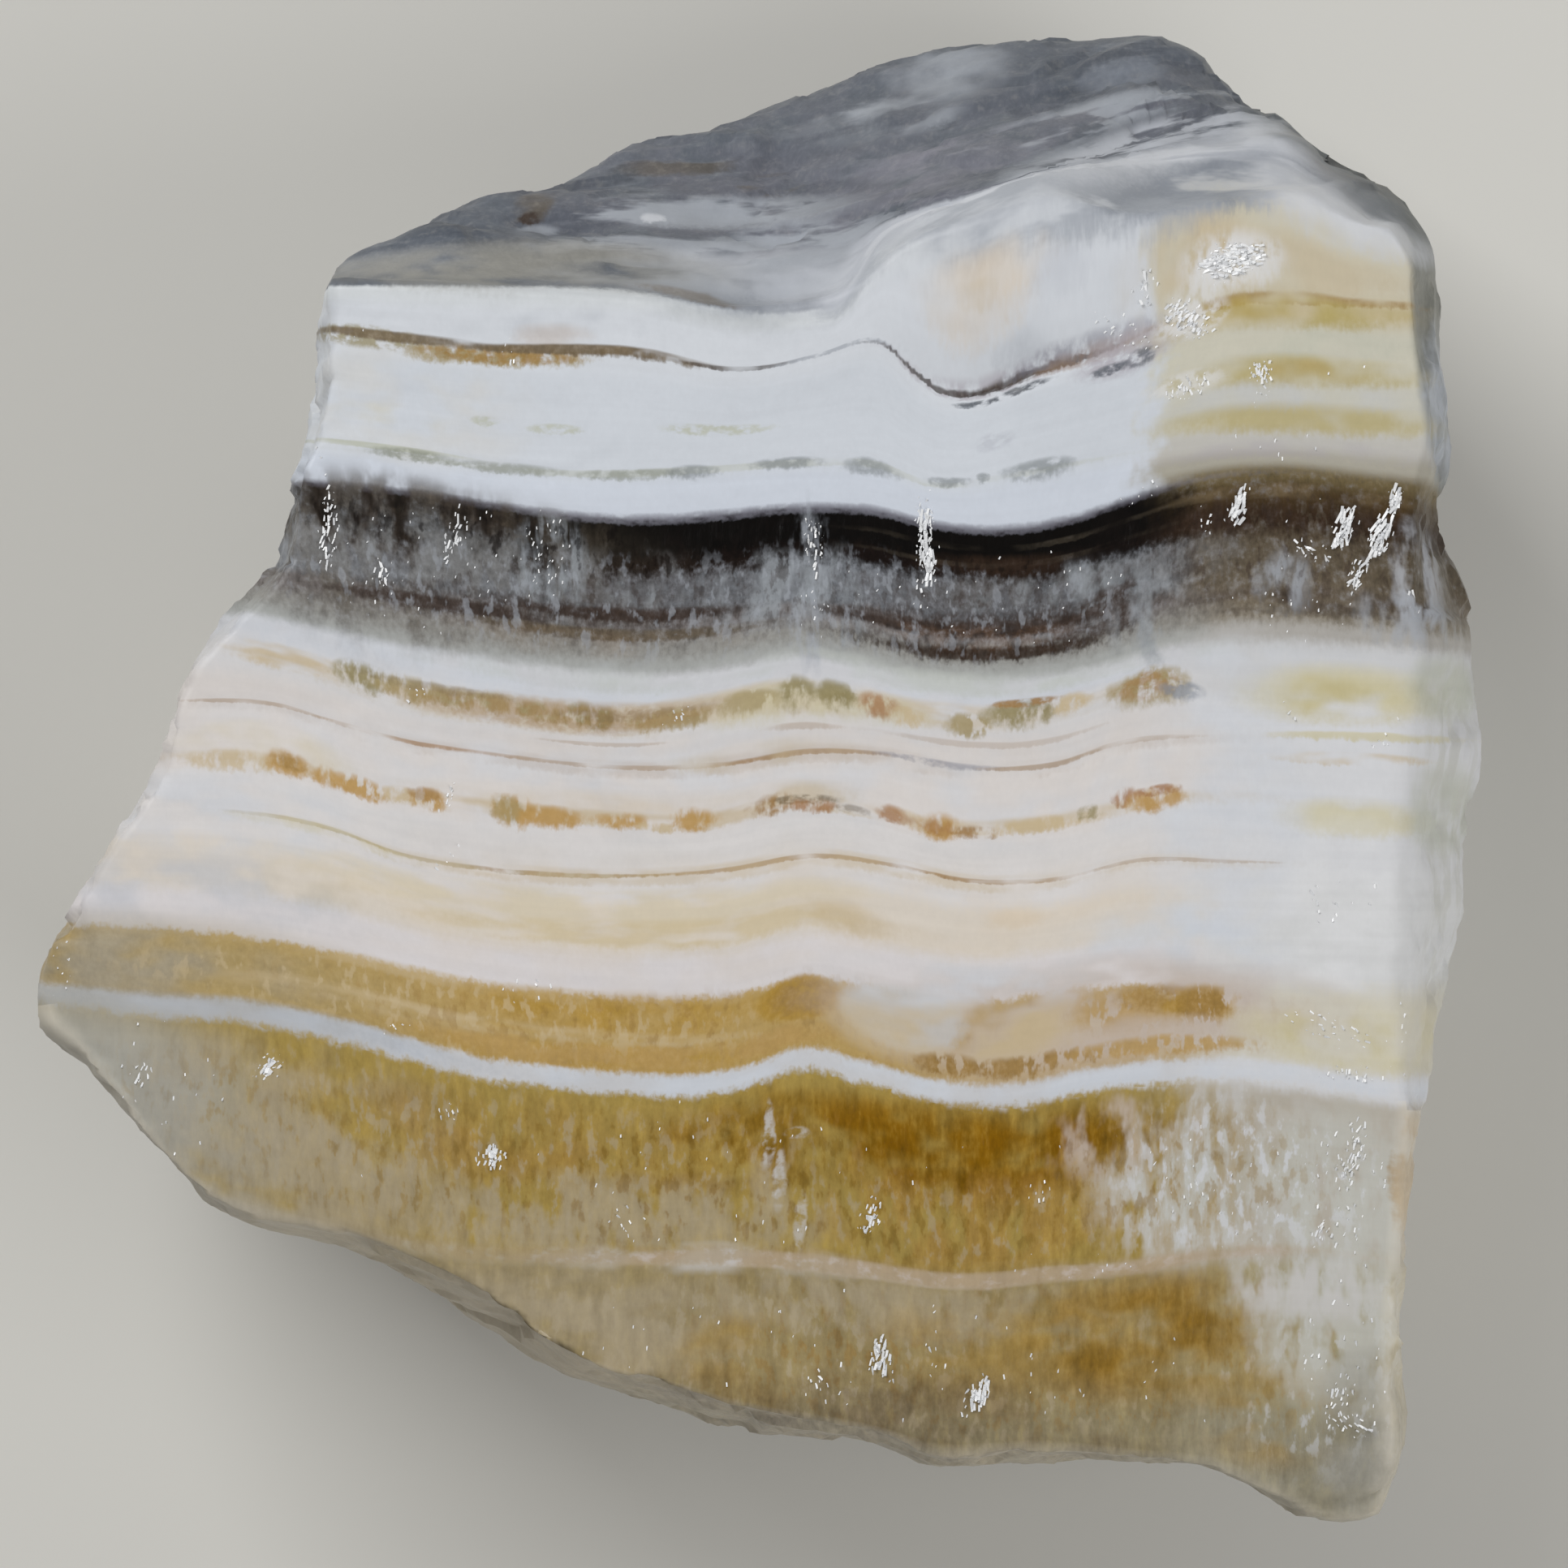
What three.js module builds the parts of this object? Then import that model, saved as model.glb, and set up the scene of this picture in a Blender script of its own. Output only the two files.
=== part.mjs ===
// Zebra calcite: one broken piece of banded stone, lying on its back.
//
// The banded face looks up (+Z), with its beds across X and the broken upper
// surface towards +Y. The stone is one closed body: a block of cells whose
// skin is pulled out to the stone's outlines, broken back along flat breaks,
// and roughened. All lengths are millimetres.

import * as THREE from 'three';
import { mergeVertices } from 'three/addons/utils/BufferGeometryUtils.js';

// ---- Driving dimensions -------------------------------------------------

const THICKNESS = 42; // resting face to banded face
const CELLS = { across: 36, along: 34, deep: 18 };

// How far below the banded face the stone is widest.
const REACH = { sides: 9, right: 13, crest: 26 };

// The resting face is the widest outline drawn in towards this middle.
const FLOOR = { middle: new THREE.Vector2(2, 1), drawnIn: 0.06 };

// The rim of the banded face. Top and bottom run left to right, left and
// right run upwards, and neighbours share their corner.
const RIM = {
  top: [
    [-30, 33.5], [-20, 33], [-9, 32.5], [-2, 32], [4.5, 33], [8, 36], [12.5, 37.5],
    [18, 39], [23.5, 38], [29, 39], [34.5, 39.5], [39, 37.5], [42, 36],
  ],
  right: [
    [39.5, -48.5], [40, -43.5], [40, -39.5], [40.5, -34], [41.5, -22.5], [42, -12.5],
    [42, -2], [42, 9], [42.5, 17.5], [43, 26.5], [42, 36],
  ],
  bottom: [
    [-49.5, -15], [-47, -17.5], [-44, -21.5], [-40, -26], [-35.5, -28.5], [-30.5, -29.5],
    [-25.5, -31.5], [-20, -34.5], [-14.5, -38.5], [-9, -40], [-2.5, -42], [6, -43.5],
    [10, -45], [17, -44.5], [23.5, -45], [29, -45.5], [32.5, -47.5], [36, -49],
    [39.5, -48.5],
  ],
  left: [
    [-49.5, -15], [-49, -11], [-46, -5.5], [-42.5, -0.5], [-40, 6.5], [-37, 10.5],
    [-33.5, 14], [-32.5, 20], [-31, 25.5], [-30, 33.5],
  ],
};

// The stone's widest outline, laid out in the same way.
const WIDEST = {
  top: [
    [-31.5, 35.5], [-29, 37], [-24.5, 38.5], [-20.5, 41], [-16, 42.5], [-11.5, 45],
    [-6.5, 46.5], [-2, 48], [2.5, 49], [7, 51], [12, 52.5], [16.5, 53], [25.5, 53],
    [29.5, 51], [32.5, 48], [36.5, 45.5], [40.5, 42], [44.5, 37.5],
  ],
  right: [
    [40, -49.5], [42, -44], [42, -39.5], [41.5, -35], [42.5, -28.5], [43.5, -22],
    [45, -17], [46.5, -9.5], [47, -4.5], [47.5, 1.5], [47, 9.5], [46.5, 15], [45, 18],
    [46, 23.5], [45.5, 30.5], [44.5, 37.5],
  ],
  bottom: [
    [-50.5, -15.5], [-48, -18.5], [-45, -22], [-42, -26.5], [-37, -30], [-31, -31.5],
    [-26, -33.5], [-20.5, -37], [-15.5, -40], [-9, -42], [-3.5, -44], [6.5, -45],
    [10, -46.5], [18, -46], [24, -46], [29.5, -46.5], [33, -48.5], [37, -50],
    [40, -49.5],
  ],
  left: [
    [-50.5, -15.5], [-50, -11], [-47, -5.5], [-43.5, 0], [-41, 6.5], [-38.5, 11],
    [-35, 14.5], [-34, 18], [-32.5, 26.5], [-31.5, 35.5],
  ],
};

// Flat breaks: a point on each and the way it faces. What stood proud is gone.
const BREAKS = {
  'right shoulder': { at: [27, 30, 42], facing: [0.17, 0.06, 1] },
  'right margin': { at: [41, 0, 41.6], facing: [0.8, 0, 1] },
  'left tip': { at: [-47, -15, 41.2], facing: [-0.35, -0.1, 1] },
  'foot, above': { at: [38, -45, 41], facing: [0.15, -0.4, 1] },
  'left flank': { at: [-43, 0, 14], facing: [-1, 0.6, -0.35] },
  'left shoulder': { at: [-33, 24, 14], facing: [-1, 0.62, -0.25] },
  'tip, below': { at: [-44, -23, 12], facing: [-0.76, -0.65, -0.5] },
  'lower left flank': { at: [-27, -34.5, 15], facing: [-0.36, -0.92, -0.3] },
  'bottom flank': { at: [-6, -43.5, 8], facing: [-0.5, -0.9, -0.75] },
  'bottom flank, right': { at: [22, -46, 12], facing: [0.05, -1, -0.4] },
  'foot, below': { at: [40, -42, 10], facing: [0.9, -0.5, -0.35] },
  'right flank': { at: [46, -8, 12], facing: [1, -0.2, -0.3] },
  'right flank, upper': { at: [46.5, 16, 14], facing: [1, 0.1, -0.2] },
  'right shoulder, below': { at: [40, 41, 12], facing: [0.8, 0.9, -0.3] },
  'crest, below': { at: [18, 50, 8], facing: [0.15, 1, -0.6] },
  'crest flank': { at: [-10, 44, 9], facing: [-0.45, 1, -0.3] },
};

// Relief: how wide each kind is and how far it stands out.
const FACETS = { size: 15, height: 2.1, layer: 5 }; // flat-sided lumps
const KNOBS = { size: 7, height: 0.6, layer: 2 };
const DISHES = { size: 22, height: 0.6, layer: 3 }; // soft hollows

// The share of the relief that each part of the skin keeps.
const KEEPS = { face: 0.3, aboveWidest: 0.4, flanks: 1, crest: 0.8, floorFade: 0.88 };

// The upper surface broke along its beds, in ledges that climb to the right.
const LEDGE = { height: 3.6, share: 0.8, wander: 1.4, climb: 0.13, tread: 0.5 };

// The white lump under the rim, and the hollow under it.
const BULGE = { at: [16.5, 33.5], radius: 6.5, height: 1.3 };
const HOLLOW = { at: [13, 26.5], radius: 4.5, height: -0.8 };

// ---- Helpers ------------------------------------------------------------

const { lerp, smoothstep } = THREE.MathUtils;

// A fixed pseudo-random number from 0 to 1 for a whole-number place.
function hash(x, y, z) {
  let h = Math.imul(x, 374761393) + Math.imul(y, 668265263) + Math.imul(z, 1274126177);
  h = Math.imul(h ^ (h >>> 13), 1103515245);
  return ((h ^ (h >>> 16)) >>> 0) / 4294967295;
}

// Random heights at the corners of a lattice, blended between them by `ease`.
function lattice(point, size, layer, ease) {
  const [x, y, z] = point.toArray().map((c) => c / size + layer * 17.3);
  const [i, j, k] = [x, y, z].map(Math.floor);
  const [u, v, w] = [x - i, y - j, z - k].map(ease);
  const row = (b, c) => lerp(hash(i, b, c), hash(i + 1, b, c), u);
  const sheet = (c) => lerp(row(j, c), row(j + 1, c), v);
  return 2 * lerp(sheet(k), sheet(k + 1), w) - 1;
}

// Soft lumps, from -1 to 1.
function softNoise(point, { size, layer }) {
  return lattice(point, size, layer, (f) => f * f * (3 - 2 * f));
}

// Flat-sided lumps with creases between them. The lattice is turned, so that
// no crease runs along an axis.
const TURNED = new THREE.Euler(0.5, 0.65, 0.9);

function creasedNoise(point, { size, layer }) {
  return lattice(point.clone().applyEuler(TURNED), size, layer, (f) => f);
}

// A soft round swelling, 1 at its middle and 0 well outside its radius.
function swelling(point, { at, radius }) {
  const away = Math.hypot(point.x - at[0], point.y - at[1]) / radius;
  return Math.exp(-away * away);
}

// Stretches a patch between four sides (a Coons patch). Each side gives its
// place at a share of its length: u runs across and v upwards, from 0 to 1.
function stretch({ top, right, bottom, left }, u, v) {
  const ruled = bottom(u).lerp(top(u), v).add(left(v).lerp(right(v), u));
  const corners = bottom(0).lerp(bottom(1), u).lerp(top(0).lerp(top(1), u), v);
  return ruled.sub(corners);
}

// Smooth curves through an outline's points, one for each side.
function curvesOf(outline) {
  const curves = {};
  for (const [side, points] of Object.entries(outline)) {
    const curve = new THREE.SplineCurve(points.map(([x, y]) => new THREE.Vector2(x, y)));
    curve.arcLengthDivisions = 400;
    curves[side] = (share) => curve.getPointAt(share);
  }
  return curves;
}

const rim = curvesOf(RIM);
const widest = curvesOf(WIDEST);

// How deep the stone is widest, at each place around it.
function reachAt(u, v) {
  const crest = smoothstep(v, 0.55, 1) * smoothstep(u, 0, 0.4) * (1 - smoothstep(u, 0.72, 1));
  const side = lerp(REACH.sides, REACH.right, smoothstep(u, 0.75, 1));
  return lerp(side, REACH.crest, crest);
}

// A place on the plain stone: u across, v upwards, depth below the banded face.
function place(u, v, depth) {
  const reach = reachAt(u, v);
  const outer = stretch(widest, u, v);
  if (depth > reach) {
    outer.lerp(FLOOR.middle, smoothstep(depth, reach, THICKNESS) * FLOOR.drawnIn);
  } else {
    outer.lerp(stretch(rim, u, v), 1 - depth / reach);
  }
  return new THREE.Vector3(outer.x, outer.y, THICKNESS - depth);
}

// Steps a smooth climb into ledges: flat treads with risers between.
function ledged(climb) {
  const tread = Math.floor(climb);
  return tread + smoothstep(climb - tread, LEDGE.tread, 1);
}

// ---- The stone ----------------------------------------------------------

// A block of cells with one shared vertex at each place on its skin.
function block() {
  const box = new THREE.BoxGeometry(1, 1, 1, CELLS.across, CELLS.along, CELLS.deep);
  box.deleteAttribute('normal');
  box.deleteAttribute('uv');
  return mergeVertices(box);
}

// Where each vertex of the block is, as shares: u across, v upwards, back deep.
function cellsOf(skin) {
  const cells = [];
  for (let i = 0; i < skin.count; i += 1) {
    cells.push({
      u: skin.getX(i) + 0.5,
      v: skin.getY(i) + 0.5,
      back: 0.5 - skin.getZ(i),
    });
  }
  return cells;
}

// How much of the relief a place keeps: none on the resting face.
function reliefShare({ u, v, back }) {
  if (back === 0) {
    return KEEPS.face;
  }
  const offFloor = 1 - smoothstep(back, KEEPS.floorFade, 1) * 0.5;
  if (v === 1) {
    return KEEPS.crest * offFloor;
  }
  const belowWidest = smoothstep(back * THICKNESS, reachAt(u, v), reachAt(u, v) * 1.8);
  return lerp(KEEPS.aboveWidest, KEEPS.flanks, belowWidest) * offFloor;
}

// Lumps, knobs and dishes along the stone's own outward direction.
function roughen(point, outward, cell) {
  const height = creasedNoise(point, FACETS) * FACETS.height
    + softNoise(point, KNOBS) * KNOBS.height
    + softNoise(point, DISHES) * DISHES.height;
  point.addScaledVector(outward, height * reliefShare(cell));
}

// Breaks the upper surface into ledges along the beds.
function breakLedges(point, cell) {
  if (cell.v < 1 || cell.back === 0) {
    return;
  }
  const wander = softNoise(point, DISHES) * LEDGE.wander;
  const climb = (point.y - point.x * LEDGE.climb + wander) / LEDGE.height;
  const fade = smoothstep(cell.back, 0, 0.08) * (1 - smoothstep(cell.back, 0.6, 0.75));
  point.y += (ledged(climb) - climb) * LEDGE.height * LEDGE.share * fade;
}

// The banded face's own swellings.
function swell(point, cell) {
  if (cell.back === 0) {
    point.z += swelling(point, BULGE) * BULGE.height;
    point.z += swelling(point, HOLLOW) * HOLLOW.height;
  }
}

// Takes away what stands proud of the flat breaks. On the resting face the
// skin moves level, so that the face stays flat up to its edge.
function breakFlat(point, cell) {
  for (const { at, facing } of Object.values(BREAKS)) {
    const out = new THREE.Vector3(...facing).normalize();
    const proud = point.clone().sub(new THREE.Vector3(...at)).dot(out);
    if (proud > 0) {
      const inward = cell.back === 1 ? out.clone().setZ(0) : out.clone();
      point.addScaledVector(inward, -proud / inward.lengthSq());
    }
  }
}

// Evens out the inside of the resting face between its edges.
function evenFloor(skin, cells) {
  const { across, along } = CELLS;
  const found = new Map();
  const key = (u, v) => `${Math.round(u * across)},${Math.round(v * along)}`;
  cells.forEach((cell, i) => {
    if (cell.back === 1) {
      found.set(key(cell.u, cell.v), i);
    }
  });
  const edge = (u, v) => new THREE.Vector3().fromBufferAttribute(skin, found.get(key(u, v)));
  const sides = {
    top: (u) => edge(u, 1),
    right: (v) => edge(1, v),
    bottom: (u) => edge(u, 0),
    left: (v) => edge(0, v),
  };
  cells.forEach((cell, i) => {
    const inside = cell.u > 0 && cell.u < 1 && cell.v > 0 && cell.v < 1;
    if (cell.back === 1 && inside) {
      skin.setXYZ(i, ...stretch(sides, cell.u, cell.v).setZ(0).toArray());
    }
  });
}

function zebraCalcite() {
  const stone = block();
  const skin = stone.attributes.position;
  const cells = cellsOf(skin);
  cells.forEach(({ u, v, back }, i) => {
    skin.setXYZ(i, ...place(u, v, back * THICKNESS).toArray());
  });
  stone.computeVertexNormals();
  const facing = stone.attributes.normal;
  const point = new THREE.Vector3();
  const outward = new THREE.Vector3();
  cells.forEach((cell, i) => {
    point.fromBufferAttribute(skin, i);
    outward.fromBufferAttribute(facing, i);
    if (cell.back === 1) {
      outward.setZ(0);
    }
    roughen(point, outward, cell);
    breakLedges(point, cell);
    swell(point, cell);
    breakFlat(point, cell);
    skin.setXYZ(i, point.x, point.y, point.z);
  });
  evenFloor(skin, cells);
  stone.computeBoundingBox();
  const middle = stone.boundingBox.getCenter(new THREE.Vector3());
  stone.translate(-middle.x, -middle.y, 0);
  stone.computeVertexNormals();
  const finish = new THREE.MeshStandardMaterial({
    color: 0xc9c1ac,
    roughness: 0.42,
    metalness: 0,
  });
  const mesh = new THREE.Mesh(stone, finish);
  mesh.name = 'zebra_calcite';
  return mesh;
}

const part = new THREE.Group();
part.add(zebraCalcite());

export default part;
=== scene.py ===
# %% [markdown]
# # A piece of zebra calcite
#
# Zebra calcite is a banded stone. Each band, or bed, is one season of growth:
# crystals crowd side by side, all pointing the same way, and iron, clay and
# organic matter tint them white, ochre, amber or black. This lesson dresses one
# broken piece of it. It rests on its flat back, with the banded face up.
#
# The solid stone comes in ready made, at its real size. The first cell loads it
# as a fixed frame, and everything after it is looks.

# %% Load the stone
import math

import bmesh
import bpy
import numpy as np
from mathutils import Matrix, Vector, noise


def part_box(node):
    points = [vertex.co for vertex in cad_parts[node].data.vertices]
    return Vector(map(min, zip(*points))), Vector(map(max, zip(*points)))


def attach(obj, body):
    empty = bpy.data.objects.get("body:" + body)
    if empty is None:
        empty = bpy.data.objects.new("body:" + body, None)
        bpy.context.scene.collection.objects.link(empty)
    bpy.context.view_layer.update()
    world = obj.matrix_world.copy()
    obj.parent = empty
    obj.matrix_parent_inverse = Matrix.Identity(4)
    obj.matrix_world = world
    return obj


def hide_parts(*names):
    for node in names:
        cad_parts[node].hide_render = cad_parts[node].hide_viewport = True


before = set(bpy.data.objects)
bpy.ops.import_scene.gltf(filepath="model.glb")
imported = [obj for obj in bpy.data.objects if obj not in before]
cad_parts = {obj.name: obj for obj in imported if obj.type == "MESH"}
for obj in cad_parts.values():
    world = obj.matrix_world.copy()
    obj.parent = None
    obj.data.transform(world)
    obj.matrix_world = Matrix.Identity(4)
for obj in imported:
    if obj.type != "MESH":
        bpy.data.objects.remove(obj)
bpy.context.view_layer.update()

STONE = "zebra_calcite"
low, high = (Vector(corner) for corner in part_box(STONE))
print("stone, mm:", [round(1000 * side, 1) for side in high - low])

# %% [markdown]
# ## Lengths and colours
#
# Blender works in metres and a hand specimen is read in millimetres, so every
# length below is in millimetres and `MM` turns it over at the last step. Colours
# are written as the hex codes of a paint chart. Those are sRGB, and a shader
# wants linear light, so one function converts them.

# %% Units and colour
MM = 0.001


def linear(hex_code):
    """Turns an sRGB hex colour such as "#c8b48a" into linear RGBA."""
    channels = [int(hex_code[i:i + 2], 16) / 255 for i in (1, 3, 5)]
    return [c / 12.92 if c <= 0.04045 else ((c + 0.055) / 1.055) ** 2.4
            for c in channels] + [1.0]


THICKNESS = (high.z - low.z) / MM
print("thickness, mm:", round(THICKNESS, 1))

# %% [markdown]
# ## Where each bed runs
#
# The beds aren't flat. They sag twice and rise over a hump, and a few of them
# dip sharply beside the white lump. One formula can't follow that, so a handful of
# guide lines are laid across the face. Each has a place in the pile (how
# many millimetres below the topmost white bed it lies, read down the stone's
# middle left) and points along the stone, x to the right and y up.
#
# Between two guides the place in the pile is blended. The result is one number
# for every point of the stone, and it is the stone's own coordinate: a colour or a
# roughness that is tied to it follows every sag and fold by itself.

# %% Guide lines
# Each line: its place in the pile, then points (x, y) along it, all mm.
GUIDES = {
    "crest": (-14, [(-30, 43), (-6, 48), (12, 51), (24, 52), (45, 50)]),
    "grey lamina": (-5.5, [(-29.2, 35.1), (-16.1, 36.6), (2.9, 36.8), (16.4, 39.2),
                           (25.7, 42.7), (33.3, 44.9), (44.1, 43.8)]),
    "grey contact": (0, [(-29.7, 31.8), (-18.9, 31.7), (-8, 31.3), (-4.2, 30.4),
                         (0.1, 29.9), (2.9, 30.1), (5, 30.7), (6.3, 33), (7.4, 34.9),
                         (10, 36.6), (13.9, 37.8), (16.6, 39.1), (21, 40), (26.5, 40.5),
                         (32, 40.8), (35.3, 40.4), (38.1, 38.1), (41.4, 36.5),
                         (44.1, 35.4)]),
    "brown line": (3.9, [(-30.8, 28.9), (-24.3, 28), (-18.9, 27.5), (-8, 27.1),
                         (-2.6, 26.1), (0.1, 26.3), (2.9, 27), (8.3, 27.4), (9.6, 26),
                         (11.5, 24.7), (14.3, 24.6), (17.5, 25.8), (23.5, 27.8),
                         (26.8, 29.5), (30, 30.6), (40.9, 30.8)]),
    "grey-green line": (12, [(-32.4, 21.3), (-24.3, 20.4), (-18.9, 19.6),
                             (-13.4, 19.2), (-2.6, 19.6), (2.9, 20), (7.2, 19.8),
                             (11, 18.5), (16.4, 19.2), (22.4, 20.3), (30, 21.3),
                             (45.2, 21)]),
    "black top": (14.9, [(-31.3, 18.7), (-24.3, 18), (-18.9, 17.2), (-13.4, 16.4),
                         (-8, 16.1), (-2.6, 16.5), (1.8, 16.9), (7.2, 16.7),
                         (11, 15.8), (15.3, 15.4), (20.2, 16.1), (24.6, 17.6),
                         (28.9, 18.9), (33.3, 19.4), (40.9, 18.7), (46.3, 18)]),
    "dark bottom": (25.5, [(-35.2, 9.8), (-29.7, 8.5), (-24.3, 7.4), (-18.9, 6.6),
                           (-13.4, 5.8), (-8, 5.5), (-2.6, 6), (1.8, 6.8),
                           (5.6, 6.3), (11, 5.2), (16.4, 5.2), (21.9, 6),
                           (26.8, 7.4), (47.4, 7.4)]),
    "ochre bed": (28.5, [(-37.9, 7.5), (-35.2, 7), (-29.7, 5.7), (-24.3, 4),
                         (-18.9, 3.2), (-8, 2.5), (-5.3, 3), (0.1, 4.3), (5.6, 3.9),
                         (11, 3), (16.4, 2.7), (20.8, 3.6), (25.7, 5.1), (30, 4.7),
                         (47.4, 4.3)]),
    "second line": (31.5, [(-40.6, 4), (-32.4, 3.6), (-29.7, 2.8), (-24.3, 1.3),
                           (-18.9, 0.5), (-8, -0.5), (-2.6, -0.2), (2.9, 0.6),
                           (7.2, 0.5), (13.7, -0.5), (19.1, -0.2), (23.5, 1.2),
                           (30, 1.7), (47.4, 1.5)]),
    "orange bed": (35, [(-41.7, 0.3), (-32.4, -0.3), (-27, -2.1), (-21.6, -2.9),
                        (-10.7, -4), (-4.7, -4.3), (0.1, -3.2), (2.9, -3),
                        (7.2, -3.5), (11, -4.6), (16.4, -4.5), (21.9, -3.7),
                        (26.8, -2.6), (35.4, -2.9), (47.4, -3.5)]),
    "third line": (38.8, [(-43.8, -3.2), (-35.2, -3.5), (-29.7, -4.5), (-24.3, -6.4),
                          (-18.9, -7.3), (-8, -7.7), (-2.6, -7.3), (2.9, -6.4),
                          (8.3, -7), (13.7, -8.1), (19.1, -8), (24.6, -6.7),
                          (31.1, -6.8), (47.4, -7.1)]),
    "tan top": (47, [(-48.2, -11.1), (-35.2, -11.9), (-29.7, -12.8), (-24.3, -14),
                     (-18.9, -15.1), (-13.4, -15.7), (-2.6, -15.9), (2.9, -14.6),
                     (8.3, -15.7), (13.7, -16.2), (20.8, -15.4), (47.4, -15.1)]),
    "white line": (52.7, [(-49.3, -15.5), (-40.6, -16.5), (-35.2, -16.8),
                          (-29.7, -17.8), (-24.3, -19.3), (-18.9, -20.7),
                          (-13.4, -21.4), (-2.6, -21.6), (2.9, -20), (6.1, -20.9),
                          (11, -22.2), (16.4, -22.5), (21.9, -21.4), (30, -20.8),
                          (40.9, -22.2), (47.4, -23)]),
    "pale line": (64.6, [(-41.7, -29), (-29.7, -31.1), (-21, -33), (-13.4, -33.3),
                         (0.1, -33.4), (5.6, -34), (12.6, -34.9), (19.1, -34.4),
                         (24.6, -33.9), (30, -33), (46.3, -33.9)]),
    "foot": (78, [(-29.7, -44.7), (-2.6, -46.4), (24.6, -46.9), (46.3, -47.4)]),
}
print(len(GUIDES), "guide lines")


def smooth_line(x, points):
    """Heights at x along a rounded line through the points."""
    px, py = np.array(points, float).T
    slope = np.gradient(py, px)
    i = np.clip(np.searchsorted(px, x) - 1, 0, len(px) - 2)
    run = px[i + 1] - px[i]
    t = np.clip((x - px[i]) / run, 0, 1)
    return ((1 + 2 * t) * (1 - t) ** 2 * py[i] + t * (1 - t) ** 2 * run * slope[i]
            + t * t * (3 - 2 * t) * py[i + 1] + t * t * (t - 1) * run * slope[i + 1])


DRIFT = 1.4       # mm that a bed wanders on its way through to the back
DRIFT_SIZE = 16   # mm from one such wander to the next
DRIFT_FROM = 3    # mm below the stone's highest point, where the wander begins
LEAST_GAP = 0.2   # mm, the least distance that is kept between two guides


def bed_place(points):
    """Each point's place in the pile of beds, in mm. Points are in mm."""
    x, y, z = points.T
    back = np.clip((THICKNESS - DRIFT_FROM - z) / THICKNESS, 0, 1)
    wander = np.array([noise.noise(Vector(p) / DRIFT_SIZE) for p in points])
    y = y + wander * back * DRIFT
    lines = np.array([smooth_line(x, points) for _, points in GUIDES.values()])
    places = np.array([place for place, _ in GUIDES.values()], float)
    above = np.clip((lines >= y).sum(0) - 1, 0, len(lines) - 2)
    column = np.arange(len(x))
    upper, lower = lines[above, column], lines[above + 1, column]
    share = (upper - y) / np.maximum(upper - lower, LEAST_GAP)
    return places[above] + share * (places[above + 1] - places[above])


# %% [markdown]
# ## The broken skin
#
# The solid gives the form, and its facets are two or three millimetres wide. Real
# calcite breaks finer than that. The copy below is merged, joined back into quads
# and divided twice, which brings a cell down to about 0.7 mm, and then pushed in
# and out by a few kinds of noise. Sculpting by hand would do the same, but a rule
# can say why each kind is there, and it gives the same stone every time.

# %% Copy and refine the solid
LEVELS = 2
SAME_POINT = 1e-6                 # metres
JOIN_ANGLE = math.radians(60)     # flatter pairs of triangles become one quad
CREASE_ANGLE = math.radians(45)   # a flatter fold is rounded off
CREASE_FULL = math.radians(90)
CREASE_MOST = 0.9                 # even the sharpest rim is worn a little


def refined_copy(source):
    """A finer copy of the CAD solid, with its sharp rims kept."""
    mesh = source.data.copy()
    cells = bmesh.new()
    cells.from_mesh(mesh)
    bmesh.ops.remove_doubles(cells, verts=cells.verts, dist=SAME_POINT)
    bmesh.ops.join_triangles(cells, faces=cells.faces,
                             angle_face_threshold=JOIN_ANGLE,
                             angle_shape_threshold=JOIN_ANGLE)
    bmesh.ops.recalc_face_normals(cells, faces=cells.faces)
    crease = cells.edges.layers.float.new("crease_edge")
    for edge in cells.edges:
        angle = edge.calc_face_angle(0)
        if angle > CREASE_ANGLE:
            edge[crease] = min(CREASE_MOST, angle / CREASE_FULL)
    cells.to_mesh(mesh)
    cells.free()
    piece = bpy.data.objects.new("calcite_stone", mesh)
    bpy.context.scene.collection.objects.link(piece)
    divide = piece.modifiers.new("finer cells", "SUBSURF")
    divide.levels = divide.render_levels = LEVELS
    fine = bpy.data.meshes.new_from_object(
        piece.evaluated_get(bpy.context.evaluated_depsgraph_get()))
    piece.modifiers.remove(divide)
    piece.data = fine
    fine.name = "calcite_stone"
    bpy.data.meshes.remove(mesh)
    return piece


stone = refined_copy(bpy.data.objects[STONE])
print(len(stone.data.vertices), "vertices,", len(stone.data.polygons), "faces")

# %% [markdown]
# ## Broken, sugary and cracked
# The flanks were struck, so they broke into slabs and splinters. The banded face was
# split cleanly and is almost flat, apart from one healed crack and one shell-shaped
# chip. The grey top is the outer crust, with low ledges. Last, the outline is drawn out
# or pressed in by a millimetre or two where the real form asks for it.

# %% Push the skin in and out
# Each kind of roughness: its size in mm (across, down the pile, through), then how
# far it moves the skin, in mm, on the broken flanks, the banded face and the grey top.
# The first four break into flat planes, and the last is smooth noise.
BREAKS = {
    "slabs": ((12, 8, 10), 0.46, 0.09, 0.45),
    "facets": ((5.0, 3.6, 5.0), 0.28, 0.045, 0.20),
    "splinters": ((1.9, 2.6, 1.9), 0.12, 0.03, 0.05),
    "ledges": ((15, 2.2, 8), 0.12, 0.02, 0.45),
}
SUGAR = ((1.3, 1.5, 1.3), 0.07, 0.015, 0.06)
SUGAR_SEED = 31
REST = 0.05, 2.5           # mm up from the resting face: plain below, all rough above
GREY_TOP_ENDS = 3.0, 2.0   # mm down the pile where its break ends, and is still full
CALM_REACH = 4.0           # mm up from the white, over which the grey top is calmer
CALM_LEAST = 0.15          # how much of its break is left there
TOP_TILT = 0.97, 0.12      # a top as level as the first stays smooth; the fade's width
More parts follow.
